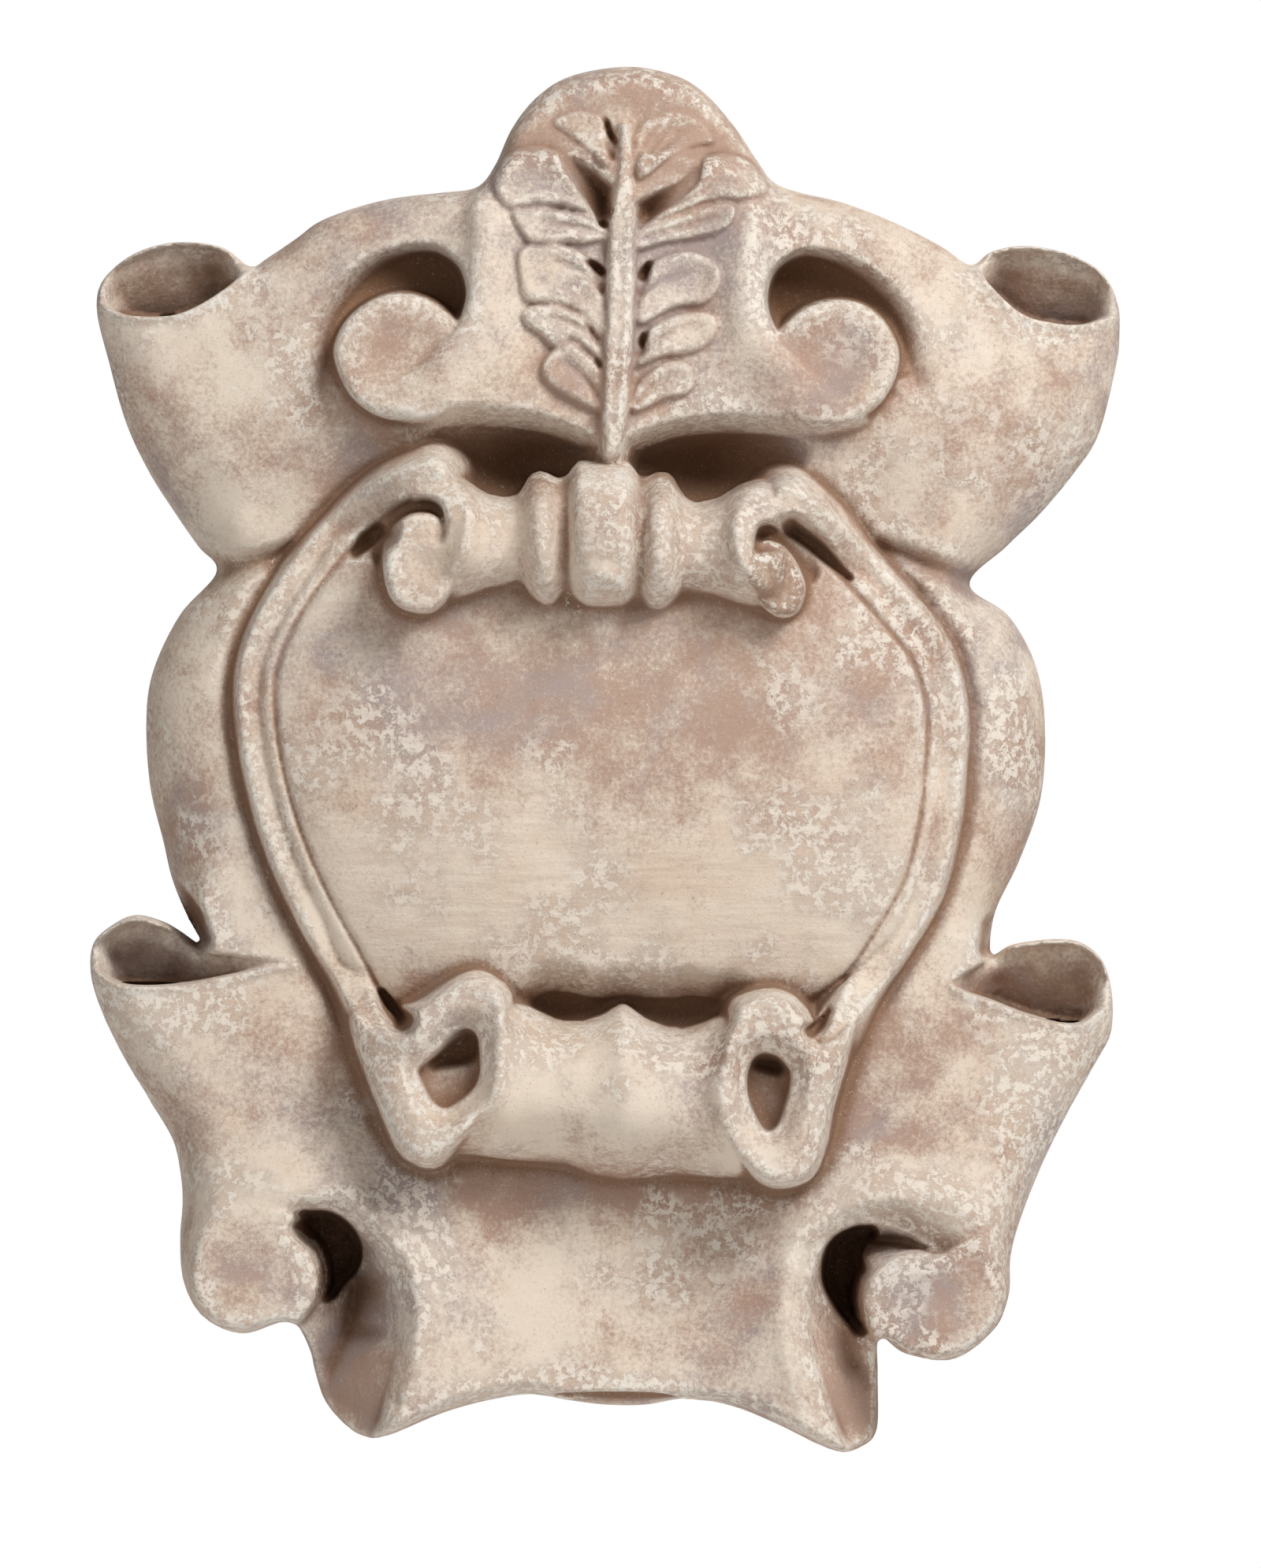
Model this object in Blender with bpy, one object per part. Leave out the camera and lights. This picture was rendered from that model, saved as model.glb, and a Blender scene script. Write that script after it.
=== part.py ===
"""Armorial panel: a strapwork cartouche with a blank convex field, modelled in clay and limewashed.

The panel hangs flat against a wall. X runs to the right, -Y towards the viewer, Z up, and the origin lies
on the flat back, in the middle of the panel.

The front is drawn as seen from straight ahead. A place on the drawing is (x, y) in drawn units, x to the
right and y down, and a height above the wall is in relief units. Both follow the driving dimensions below,
so the carving keeps its proportions when the panel's height or its depth changes.
"""

import bpy
import bmesh
import numpy as np

# Driving dimensions, in metres
HEIGHT = 0.900          # apex of the crest to the tip of the longer flap
DEPTH = 0.204           # wall to the front of the upper spool
STRAP_WIDTH = 0.0235    # the frame's flat strap
GROOVE_WIDTH = 0.011    # the groove along the strap's outer side
EAR_WALL = 0.020        # clay at the rim of a rolled ear
CUP_DEPTH = 0.076       # how far each ear is open below its lip

# Making of the solid, in metres
DRAWING_STEP = 0.0023   # spacing of the net that carries the relief
VOXEL = 0.0034          # grain at which the masses are fused
BACK_ALLOWANCE = 0.004  # clay behind the wall plane that the flat cut takes off
TRIANGLES = 8800

# The drawing: its own height, its middle, and the relief of its highest point
DRAWN_HEIGHT = 1763
MIDDLE_X = 770
MIDDLE_Y = 965
RELIEF_TOP = 400
FAR_OFF = 1e4           # drawn units, for places that a stroke or a region doesn't reach

UNIT = HEIGHT / DRAWN_HEIGHT
RELIEF = DEPTH / RELIEF_TOP

# Outline, clockwise from the crest's left foot. Each point is x, y, the height of the edge above the wall,
# and how far in from the edge the front and the back are rounded.
CREST = [
    (560, 243, 170, 30, 90), (604, 236, 165, 24, 90), (627, 208, 160, 22, 90), (649, 160, 155, 22, 80),
    (682, 119, 150, 24, 80), (726, 93, 150, 26, 80), (797, 82, 150, 26, 80), (856, 93, 150, 26, 80),
    (893, 115, 150, 24, 80), (930, 156, 155, 22, 80), (960, 201, 160, 22, 90), (982, 230, 165, 24, 90),
    (1015, 243, 170, 30, 90),
]
RIGHT_WING = [
    (1070, 256, 170, 36, 100), (1133, 280, 165, 40, 100), (1194, 310, 150, 36, 100), (1233, 334, 140, 24, 100),
]
RIGHT_EAR = [
    (1259, 317, 130, 14, 90), (1302, 309, 125, 14, 90), (1358, 319, 125, 14, 90), (1402, 345, 130, 16, 90),
    (1421, 385, 135, 34, 90), (1423, 425, 130, 50, 90), (1419, 462, 125, 70, 90), (1397, 549, 115, 95, 100),
    (1367, 597, 105, 105, 100), (1324, 649, 95, 105, 100), (1280, 692, 85, 90, 90), (1233, 740, 75, 60, 70),
]
RIGHT_LOBE = [
    (1284, 781, 75, 95, 75), (1319, 847, 75, 120, 75), (1330, 926, 75, 130, 75), (1324, 1014, 75, 130, 75),
    (1297, 1093, 75, 110, 75), (1266, 1159, 75, 80, 70), (1261, 1212, 80, 30, 60),
]
RIGHT_LOW_EAR = [
    (1286, 1200, 110, 14, 70), (1339, 1193, 110, 14, 80), (1376, 1198, 115, 14, 80), (1403, 1223, 125, 16, 80),
    (1414, 1268, 130, 36, 80), (1412, 1313, 125, 55, 80), (1395, 1347, 120, 70, 90), (1357, 1415, 115, 75, 90),
    (1324, 1482, 115, 75, 90), (1297, 1550, 120, 60, 90), (1284, 1599, 125, 40, 90),
]
RIGHT_LOW_VOLUTE = [
    (1282, 1645, 130, 22, 80), (1263, 1689, 130, 18, 80), (1211, 1727, 130, 18, 80), (1150, 1721, 130, 16, 80),
    (1118, 1702, 70, 12, 50),
]
RIGHT_FLAP = [
    (1116, 1750, 60, 12, 40), (1115, 1820, 60, 12, 40), (1096, 1841, 70, 14, 50), (1071, 1846, 110, 16, 60),
    (1041, 1837, 140, 20, 80), (985, 1809, 160, 24, 100), (930, 1787, 160, 26, 110),
]
FOOT = [
    (874, 1780, 90, 20, 60), (819, 1789, 70, 24, 45), (767, 1789, 70, 24, 45), (715, 1782, 80, 22, 50),
    (671, 1772, 150, 26, 110), (615, 1780, 160, 26, 110), (560, 1796, 150, 24, 100),
]
LEFT_FLAP = [
    (495, 1823, 130, 18, 80), (463, 1828, 90, 14, 50), (436, 1815, 60, 12, 40), (409, 1785, 60, 12, 40),
    (396, 1748, 60, 12, 40), (388, 1716, 60, 12, 40), (366, 1681, 70, 12, 50),
]
LEFT_LOW_VOLUTE = [
    (315, 1694, 130, 18, 80), (280, 1688, 130, 18, 80), (248, 1665, 130, 20, 80), (229, 1625, 130, 24, 80),
]
LEFT_LOW_EAR = [
    (225, 1575, 125, 40, 90), (228, 1528, 120, 55, 90), (225, 1491, 115, 65, 90), (215, 1448, 115, 75, 90),
    (184, 1396, 115, 75, 90), (150, 1338, 120, 70, 90), (123, 1280, 125, 55, 80), (111, 1235, 130, 34, 80),
    (115, 1197, 125, 16, 80), (141, 1173, 115, 14, 80), (169, 1162, 110, 14, 80), (202, 1170, 110, 14, 70),
    (224, 1182, 105, 14, 60), (251, 1200, 80, 16, 50),
]
LEFT_LOBE = [
    (232, 1165, 75, 30, 60), (213, 1116, 75, 80, 70), (202, 1069, 75, 110, 75), (185, 998, 75, 130, 75),
    (180, 914, 75, 130, 75), (189, 850, 75, 125, 75), (223, 779, 75, 100, 75), (270, 724, 75, 60, 70),
]
LEFT_EAR = [
    (247, 692, 85, 90, 90), (218, 650, 95, 105, 100), (184, 596, 105, 105, 100), (155, 533, 115, 95, 100),
    (134, 457, 125, 70, 90), (119, 394, 130, 45, 90), (125, 356, 132, 16, 90), (155, 326, 128, 14, 90),
    (193, 309, 125, 14, 90), (235, 304, 125, 14, 90), (281, 312, 130, 14, 90),
]
LEFT_WING = [
    (315, 336, 140, 24, 100), (336, 326, 150, 30, 100), (374, 301, 160, 36, 100), (403, 280, 165, 40, 100),
    (450, 262, 168, 40, 100), (500, 250, 170, 36, 100),
]
OUTLINE = (
    CREST + RIGHT_WING + RIGHT_EAR + RIGHT_LOBE + RIGHT_LOW_EAR + RIGHT_LOW_VOLUTE + RIGHT_FLAP + FOOT
    + LEFT_FLAP + LEFT_LOW_VOLUTE + LEFT_LOW_EAR + LEFT_LOBE + LEFT_EAR + LEFT_WING
)

# Broad form of the front: x, y, height. A smooth sheet is hung through these knots.
GROUND = [
    (797, 100, 225), (660, 170, 225), (930, 170, 225), (797, 180, 240),
    (700, 300, 262), (880, 300, 262), (770, 420, 280), (690, 430, 282), (880, 430, 282),
    (690, 520, 290), (850, 520, 290), (770, 560, 290), (560, 262, 240), (1015, 262, 240),
    (430, 300, 225), (330, 360, 205), (250, 420, 205), (160, 440, 195), (200, 540, 205), (300, 500, 222),
    (380, 560, 228), (450, 610, 205), (300, 650, 200),
    (1130, 305, 225), (1215, 360, 205), (1290, 420, 205), (1390, 440, 195), (1350, 540, 205),
    (1250, 500, 222), (1165, 560, 228), (1090, 620, 205), (1240, 650, 200),
    (250, 800, 205), (240, 950, 212), (260, 1100, 205), (330, 780, 200),
    (1260, 800, 205), (1270, 950, 212), (1240, 1100, 205), (1180, 780, 200),
    (330, 1180, 205), (1210, 1200, 205),
    (180, 1280, 205), (250, 1300, 215), (350, 1290, 215), (400, 1380, 225), (280, 1450, 235),
    (1370, 1320, 205), (1290, 1330, 215), (1190, 1300, 215), (1130, 1400, 225), (1250, 1480, 235),
    (560, 1560, 235), (770, 1560, 225), (980, 1560, 235), (520, 1500, 235), (1020, 1500, 235),
    (560, 1680, 262), (770, 1680, 245), (980, 1680, 262), (600, 1765, 278), (770, 1750, 262),
    (960, 1775, 278), (310, 1600, 282), (1190, 1650, 282),
]

# Middle line of the strap, from the upper spool down to the lower one
STRAP_LEFT = [
    (548, 604), (500, 624), (448, 660), (392, 722), (347, 792), (326, 852), (326, 920), (340, 1000),
    (366, 1082), (402, 1160), (446, 1240), (474, 1300), (492, 1356), (516, 1424),
]
STRAP_RIGHT = [
    (1000, 634), (1046, 676), (1086, 718), (1136, 772), (1180, 830), (1200, 900), (1198, 980), (1190, 1050),
    (1168, 1130), (1128, 1216), (1080, 1290), (1052, 1350), (1038, 1420),
]

# Mouths of the four ears: the back rim and the front lip, both from the outer end inwards
MOUTHS = (
    ([(118, 376), (130, 350), (158, 330), (195, 314), (236, 309), (278, 316), (312, 338)],
     [(122, 380), (151, 396), (197, 400), (232, 394), (270, 374), (314, 342)]),
    ([(1421, 392), (1400, 348), (1358, 324), (1302, 314), (1262, 321), (1236, 335)],
     [(1419, 398), (1400, 403), (1372, 410), (1337, 408), (1293, 394), (1240, 342)]),
    ([(113, 1224), (118, 1200), (142, 1178), (169, 1167), (202, 1175), (226, 1186), (254, 1204), (300, 1212),
      (372, 1222)],
     [(118, 1230), (142, 1244), (172, 1250), (227, 1248), (294, 1236), (340, 1226), (372, 1224)]),
    ([(1412, 1272), (1400, 1226), (1374, 1203), (1338, 1198), (1288, 1205), (1262, 1217), (1216, 1240)],
     [(1408, 1276), (1391, 1285), (1369, 1298), (1339, 1296), (1301, 1286), (1263, 1271), (1212, 1252)]),
)

# The hollow inside each ear: x and y of its mouth's middle, its half width there, how far it leans towards
# the middle of the panel on its way down, and how much its mouth slopes
CUPS = (
    (210, 372, 68, 30, -0.10),
    (1334, 384, 68, -30, 0.10),
    (182, 1226, 52, 26, 0.02),
    (1338, 1268, 54, -26, 0.02),
)
CUP_FLOOR = 66          # relief of a cup's back wall
CUP_END = 0.42          # width and thickness at the bottom, as shares of the mouth's

# Lobes of the leaf, left and right: each a stroke of x, y, half width, from the stem to its tip
LEAF_LOBES = (
    [(770, 205, 12), (740, 168, 20), (705, 156, 10)],
    [(808, 200, 12), (846, 166, 20), (886, 168, 9)],
    [(768, 268, 10), (720, 228, 26), (672, 202, 22), (636, 218, 10)],
    [(772, 300, 12), (716, 282, 26), (660, 262, 14)],
    [(804, 264, 10), (850, 224, 24), (900, 206, 22), (962, 236, 10)],
    [(802, 300, 12), (850, 278, 26), (930, 256, 14)],
    [(774, 392, 10), (726, 358, 34), (674, 336, 20)],
    [(804, 386, 10), (850, 358, 32), (906, 340, 16)],
    [(776, 470, 10), (730, 434, 28), (672, 408, 12)],
    [(800, 464, 10), (850, 440, 26), (902, 416, 12)],
    [(774, 524, 8), (730, 492, 24), (694, 472, 14)],
    [(796, 520, 8), (840, 494, 24), (876, 480, 12)],
)
LEAF_STEM = [(790, 170, 9), (786, 260, 13), (786, 350, 13), (790, 420, 13), (784, 500, 13), (774, 560, 8)]
LEAF_BED = [
    (790, 138), (700, 138), (640, 196), (630, 280), (650, 340), (662, 430), (690, 500), (770, 575),
    (850, 510), (902, 450), (918, 340), (964, 250), (940, 190), (890, 146),
]


def curve(points, closed=False, step=7.0):
    """Smooth curve through the points. Further columns, such as a width, follow along."""
    p = np.asarray(points, float)
    n = len(p)
    pieces = []
    for i in range(n if closed else n - 1):
        before = p[i - 1] if closed or i > 0 else 2 * p[0] - p[1]
        start = p[i]
        end = p[(i + 1) % n]
        after = p[(i + 2) % n] if closed or i + 2 < n else 2 * p[-1] - p[-2]
        count = max(1, int(round(np.hypot(*(end - start)[:2]) / step)))
        t = (np.arange(count) / count)[:, None]
        pieces.append(0.5 * (2 * start + (end - before) * t
                             + (2 * before - 5 * start + 4 * end - after) * t ** 2
                             + (3 * start - before - 3 * end + after) * t ** 3))
    if not closed:
        pieces.append(p[-1:])
    return np.vstack(pieces)


def nearest(x, y, path, closed=False):
    """Distance to the path, the share along it, and the path's further columns there."""
    if closed:
        path = np.vstack([path, path[:1]])
    best = np.full(x.shape, np.inf)
    where = np.zeros(x.shape)
    for i in range(len(path) - 1):
        ax, ay = path[i, :2]
        dx, dy = path[i + 1, :2] - path[i, :2]
        length = dx * dx + dy * dy
        if length == 0:
            continue
        t = np.clip(((x - ax) * dx + (y - ay) * dy) / length, 0, 1)
        far = (x - ax - t * dx) ** 2 + (y - ay - t * dy) ** 2
        closer = far < best
        best = np.where(closer, far, best)
        where = np.where(closer, i + t, where)
    low = np.minimum(where.astype(int), len(path) - 2)
    part = (where - low)[..., None]
    more = path[low, 2:] * (1 - part) + path[low + 1, 2:] * part
    return np.sqrt(best), where / (len(path) - 1), more


def inside(x, y, path):
    """True within the closed path."""
    odd = np.zeros(x.shape, bool)
    ax, ay = path[-1, :2]
    for bx, by in path[:, :2]:
        if ay != by:
            odd ^= ((ay > y) != (by > y)) & (x < (bx - ax) * (y - ay) / (by - ay) + ax)
        ax, ay = bx, by
    return odd


def drape(x, y, knots):
    """Smooth sheet through the knots, each x, y, height."""
    k = np.asarray(knots, float)
    n = len(k)
    span = 1000.0
    slack = 1e-4

    def bend(square):
        return square * np.log(np.maximum(square, 1e-12))

    kx = k[:, 0] / span
    ky = k[:, 1] / span
    system = np.zeros((n + 3, n + 3))
    system[:n, :n] = bend((kx[:, None] - kx) ** 2 + (ky[:, None] - ky) ** 2) + slack * np.eye(n)
    system[:n, n:] = np.stack([np.ones(n), kx, ky], 1)
    system[n:, :n] = system[:n, n:].T
    weights = np.linalg.solve(system, np.append(k[:, 2], (0, 0, 0)))
    gx = x / span
    gy = y / span
    height = weights[n] + weights[n + 1] * gx + weights[n + 2] * gy
    for i in range(n):
        height = height + weights[i] * bend((gx - kx[i]) ** 2 + (gy - ky[i]) ** 2)
    return height


def ease(t):
    """Smooth step from 0 to 1."""
    t = np.clip(t, 0, 1)
    return t * t * (3 - 2 * t)


def quarter(t):
    """Quarter round from 0 to 1, upright at its start and level at its end."""
    return np.sqrt(1 - (1 - np.clip(t, 0, 1)) ** 2)


def blended_max(a, b, blend):
    """The higher of the two, with a fillet where they meet."""
    share = np.clip(0.5 + 0.5 * (a - b) / blend, 0, 1)
    return b + (a - b) * share + blend * share * (1 - share)


class Relief:
    """Heights of the front over a net of places on the drawing, worked like clay: laid on, raised, sunk."""

    def __init__(self, x, y):
        self.x = x
        self.y = y
        self.height = drape(x, y, GROUND)

    def near(self, path, margin):
        low = path[:, :2].min(0) - margin
        high = path[:, :2].max(0) + margin
        return (self.x > low[0]) & (self.x < high[0]) & (self.y > low[1]) & (self.y < high[1])

    def band(self, points, margin=75):
        """How far inside a stroke of the given half widths each place is, and the share along it."""
        path = curve(points)
        close = self.near(path, margin)
        far, share, width = nearest(self.x[close], self.y[close], path)
        edge = np.full(self.x.shape, -FAR_OFF)
        edge[close] = width[..., 0] - far
        along = np.zeros(self.x.shape)
        along[close] = share
        return edge, along

    def area(self, points, margin=60):
        """How far inside a closed outline each place is."""
        path = curve(points, closed=True)
        close = self.near(path, margin)
        x = self.x[close]
        y = self.y[close]
        far = nearest(x, y, path, closed=True)[0]
        edge = np.full(self.x.shape, -FAR_OFF)
        edge[close] = np.where(inside(x, y, path), far, -far)
        return edge

    def oval(self, middle, radii):
        """How far inside an upright oval each place is, near enough."""
        reach = np.hypot((self.x - middle[0]) / radii[0], (self.y - middle[1]) / radii[1])
        return (1 - reach) * min(radii)

    def lay(self, edge, target, soft):
        """Gives the inside of a region its own height."""
        self.height = self.height + (target - self.height) * ease((edge + soft) / (2 * soft))

    def raise_to(self, edge, top, rounding, slope=7.0, blend=6):
        """Builds up a piece with a rounded shoulder and steep sides."""
        shoulder = top - rounding * (1 - quarter(edge / rounding))
        side = top - rounding + slope * edge
        self.height = blended_max(self.height, np.where(edge > 0, shoulder, side), blend)

    def sink_to(self, edge, floor, dish, slope=6.0, blend=10):
        """Digs a hollow with steep sides and a dished floor."""
        bowl = floor + dish * (1 - quarter(edge / dish))
        side = floor + dish - slope * edge
        self.height = -blended_max(-self.height, -np.where(edge > 0, bowl, side), blend)


def strap_path(line):
    half = STRAP_WIDTH / UNIT / 2
    return [(x, y, half * (0.72 if i == 0 else 1.0)) for i, (x, y) in enumerate(line)]


def model_lobes(relief):
    """Creases where the side lobes come out from behind the wings."""
    for crease in ([(262, 728, 16), (330, 712, 14), (400, 690, 8)],
                   [(1240, 745, 16), (1190, 722, 14), (1120, 692, 8)]):
        edge = relief.band(crease)[0]
        relief.height -= 24 * ease((edge + 12) / 28)


def model_field(relief):
    """Blank convex field, running in under the strap."""
    border = STRAP_LEFT[2:-3] + [(600, 1318), (770, 1322), (940, 1318)] + STRAP_RIGHT[-4:1:-1]
    border += [(900, 618), (640, 610)]
    edge = relief.area(border)
    crown = 200 + 88 * quarter(edge / 310)
    relief.lay(edge, crown, 12)


def model_leaf_panel(relief):
    """Tongue that carries the leaf, with its lower step and the shadowed recesses under it."""
    tongue = [
        (613, 250), (616, 330), (600, 440), (520, 500), (440, 518), (540, 545), (640, 548), (700, 552),
        (745, 572), (771, 590), (798, 572), (850, 551), (930, 545), (1010, 547), (1090, 540), (1040, 500),
        (960, 440), (946, 330), (950, 250), (890, 200), (660, 200),
    ]
    edge = relief.area(tongue)
    relief.lay(edge, 262 + 28 * ease((relief.y - 250) / 250), 6)
    for recess in ([(560, 574, 8), (620, 584, 28), (690, 590, 34), (752, 604, 26)],
                   [(1000, 576, 8), (920, 586, 30), (850, 590, 36), (788, 604, 26)]):
        relief.sink_to(relief.band(recess)[0], 150, 16, slope=4.0)


def model_upper_volutes(relief):
    """Two volutes that curl out of the leaf panel's sides, each with its crescent hollow."""
    hollows = (
        [(392, 478, 4), (402, 432, 12), (432, 378, 22), (486, 342, 26), (548, 336, 30), (580, 372, 26),
         (588, 412, 12)],
        [(1168, 500, 4), (1164, 450, 12), (1140, 400, 20), (1092, 356, 24), (1030, 345, 28), (990, 372, 26),
         (982, 410, 12)],
    )
    ridges = (
        [(606, 262, 10), (620, 320, 12), (626, 380, 16), (610, 436, 24), (568, 486, 30), (510, 510, 28),
         (462, 496, 20)],
        [(958, 262, 10), (944, 330, 12), (938, 390, 16), (954, 446, 24), (992, 494, 28), (1044, 520, 26),
         (1096, 508, 18)],
    )
    discs = (((506, 455), (78, 78)), ((1066, 460), (68, 76)))
    for hollow, ridge, disc in zip(hollows, ridges, discs):
        edge, along = relief.band(hollow)
        relief.sink_to(edge, 150 + 60 * ease(1 - along * 2.2), 18, slope=4.0)
        relief.raise_to(relief.oval(*disc), 288, 20)
        edge, along = relief.band(ridge)
        relief.raise_to(edge, 300 - 26 * ease(1 - along * 3), 22, slope=5.0, blend=14)


def model_strap(relief):
    """Strap frame with a groove along its outer side."""
    groove = GROOVE_WIDTH / UNIT / 2
    for line in (STRAP_LEFT, STRAP_RIGHT):
        edge, along = relief.band(strap_path(line))
        ends = ease(along * 12) * ease((1 - along) * 12)
        outer = np.hypot((relief.x - MIDDLE_X) / 440, (relief.y - 960) / 380) > 0.99
        trough = np.exp(-((edge + groove) / groove) ** 2)
        relief.height -= trough * ends * np.where(outer, 18, 8)
        top = 236 + 90 * ease((0.17 - along) / 0.17) + 110 * ease((along - 0.8) / 0.2)
        relief.raise_to(edge, top, 12, slope=3.5)


def profile(x, places, values):
    """Line through the values at the places, with its corners softened."""
    shifts = (-6, -2, 2, 6)
    return sum(np.interp(x + shift, places, values) for shift in shifts) / len(shifts)


def half_round(y, top, bottom, back, front):
    """Height across a roll that lies level between its top and bottom lines."""
    middle = (top + bottom) / 2
    t = np.clip((y - middle) / ((bottom - top) / 2), -1, 1)
    return back + (front - back) * np.sqrt(1 - t * t)


def model_spool_end(relief, ring, hollow, disc, height, floor):
    """Flared end of a spool: a curled rim, the disc inside it and the hollow between them."""
    relief.raise_to(relief.oval(*disc), height - 34, 14)
    relief.raise_to(relief.band(ring)[0], height, 12)
    relief.sink_to(relief.band(hollow)[0], floor, 8)


def model_upper_spool(relief):
    """Upper spool: three ribs between flared ends."""
    x = relief.x
    y = relief.y
    top = profile(x, [540, 600, 640, 662, 690, 718, 728, 765, 803, 812, 840, 862, 880, 930, 990],
                    [592, 628, 636, 612, 598, 604, 584, 583, 584, 604, 600, 620, 636, 622, 606])
    bottom = profile(x, [500, 560, 620, 660, 690, 725, 765, 803, 840, 862, 900, 950, 1000],
                       [775, 772, 752, 760, 778, 774, 778, 776, 783, 776, 768, 778, 790])
    front = profile(x, [480, 540, 580, 610, 652, 666, 692, 714, 724, 732, 765, 798, 806, 816, 838, 856,
                          868, 920, 960, 1020],
                      [350, 372, 378, 358, 344, 372, 386, 374, 352, 392, 400, 392, 352, 374, 382, 366, 344,
                       352, 376, 350])
    body = half_round(y, top, bottom, 205, front)
    ends = ease((x - 500) / 30) * ease((1020 - x) / 30)
    relief.height = np.where((y > top) & (y < bottom), np.maximum(relief.height, body * ends), relief.height)
    edge, along = relief.band([(765, 760, 34), (765, 810, 18), (762, 860, 4)])
    relief.height += 14 * ease((edge + 8) / 24) * (1 - along)
    model_spool_end(
        relief,
        [(552, 606, 12), (584, 636, 15), (588, 690, 16), (570, 738, 18), (534, 764, 18), (510, 748, 15),
         (504, 716, 12), (520, 688, 9)],
        [(560, 640, 5), (566, 664, 9), (558, 684, 5)], ((534, 716), (36, 50)), 378, 262)
    model_spool_end(
        relief,
        [(976, 618, 12), (946, 642, 15), (940, 690, 16), (958, 740, 17), (992, 772, 16), (1014, 748, 13),
         (1012, 708, 10)],
        [(976, 652, 5), (972, 684, 8), (980, 708, 5)], ((984, 712), (34, 52)), 376, 262)


def model_lower_spool(relief):
    """Lower spool: a plain roll with a soft ridge down its middle, and a shadowed hollow above it."""
    x = relief.x
    y = relief.y
    above = [(668, 1290, 12), (730, 1286, 30), (800, 1290, 26), (860, 1292, 30), (926, 1284, 12)]
    relief.sink_to(relief.band(above)[0], 178, 16, slope=1.6)
    top = profile(x, [500, 533, 559, 604, 650, 708, 752, 771, 790, 809, 848, 890, 953, 977, 1006, 1028],
                    [1300, 1282, 1267, 1239, 1261, 1295, 1293, 1284, 1274, 1287, 1305, 1298, 1266, 1264, 1273,
                     1320])
    bottom = profile(x, [500, 541, 600, 720, 788, 860, 938, 999, 1030],
                       [1440, 1471, 1468, 1482, 1498, 1498, 1497, 1493, 1460])
    front = profile(x, [480, 540, 600, 637, 680, 740, 790, 840, 890, 931, 975, 1030],
                      [340, 372, 386, 392, 370, 370, 384, 370, 370, 392, 378, 340])
    body = half_round(y, top, bottom, 215, front)
    ends = ease((x - 478) / 40) * ease((1056 - x) / 40)
    relief.height = np.where((y > top) & (y < bottom), np.maximum(relief.height, body * ends), relief.height)
    model_spool_end(
        relief,
        [(512, 1304, 14), (550, 1284, 18), (604, 1264, 22), (634, 1296, 22), (636, 1345, 24), (616, 1400, 26),
         (578, 1440, 26), (536, 1436, 24), (506, 1392, 20), (494, 1345, 16)],
        [(596, 1322, 12), (592, 1350, 20), (568, 1376, 22), (550, 1362, 12)], ((565, 1352), (60, 70)), 390, 268)
    model_spool_end(
        relief,
        [(940, 1290, 22), (985, 1284, 20), (1010, 1312, 18), (1018, 1370, 20), (1010, 1430, 22),
         (980, 1462, 22), (946, 1440, 22), (930, 1380, 20), (930, 1330, 20)],
        [(978, 1352, 12), (974, 1384, 22), (970, 1410, 14)], ((974, 1384), (50, 80)), 388, 268)


def model_apron(relief):
    """Apron with its foot, two lower volutes and the flaps that hang inside them."""
    bulge = [(690, 1768), (730, 1764), (770, 1763), (820, 1765), (862, 1772), (890, 1800), (770, 1830),
             (660, 1800)]
    relief.lay(relief.area(bulge), 120, 3)
    flaps = (
        [(372, 1560), (400, 1550), (450, 1566), (490, 1620), (505, 1680), (500, 1740), (484, 1815),
         (436, 1850), (350, 1800), (350, 1690), (396, 1640)],
        [(1130, 1566), (1100, 1560), (1062, 1590), (1032, 1640), (1022, 1690), (1040, 1750), (1070, 1830),
         (1100, 1860), (1150, 1830), (1140, 1715), (1110, 1690), (1095, 1640)],
    )
    depths = (
        [(380, 1552, 10), (410, 1580, 24), (430, 1616, 22), (420, 1650, 14)],
        [(1196, 1574, 4), (1150, 1562, 12), (1100, 1580, 22), (1072, 1620, 28), (1070, 1660, 24),
         (1090, 1692, 12)],
    )
    discs = (((315, 1604), (90, 92)), ((1188, 1656), (94, 78)))
    arches = (
        [(243, 1562, 18), (288, 1530, 24), (350, 1514, 24), (420, 1522, 20), (474, 1554, 18), (510, 1606, 16),
         (520, 1666, 15), (516, 1720, 15), (500, 1780, 12), (488, 1815, 8)],
        [(1262, 1588, 18), (1216, 1556, 20), (1160, 1540, 20), (1110, 1544, 18), (1060, 1572, 16),
         (1020, 1614, 15), (1008, 1670, 15), (1020, 1730, 14), (1050, 1790, 12), (1072, 1838, 8)],
    )
    for flap, depth, disc, arch in zip(flaps, depths, discs, arches):
        relief.lay(relief.area(flap), 92 + 62 * ease((relief.y - 1640) / 130), 8)
        relief.sink_to(relief.band(depth)[0], 64, 12, slope=4.0)
        relief.raise_to(relief.oval(*disc), 286, 22)
        relief.raise_to(relief.band(arch)[0], 288, 18, slope=5.0, blend=12)


def model_ears(relief):
    """Mouths of the rolled ears: the back wall falls from the rim to the foot of the lip."""
    for rim, lip in MOUTHS:
        mouth = relief.area(rim + lip[::-1])
        from_lip = -relief.band([(x, y, 0) for x, y in lip])[0]
        from_rim = -relief.band([(x, y, 0) for x, y in rim])[0]
        share = from_rim / np.maximum(from_rim + from_lip, 1)
        relief.lay(mouth, 128 - 66 * ease(share * 1.2), 3)
        bead = EAR_WALL / UNIT * 0.4
        relief.height += np.where(mouth > 0, 0, 8 * ease(1 - from_lip / bead))


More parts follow.
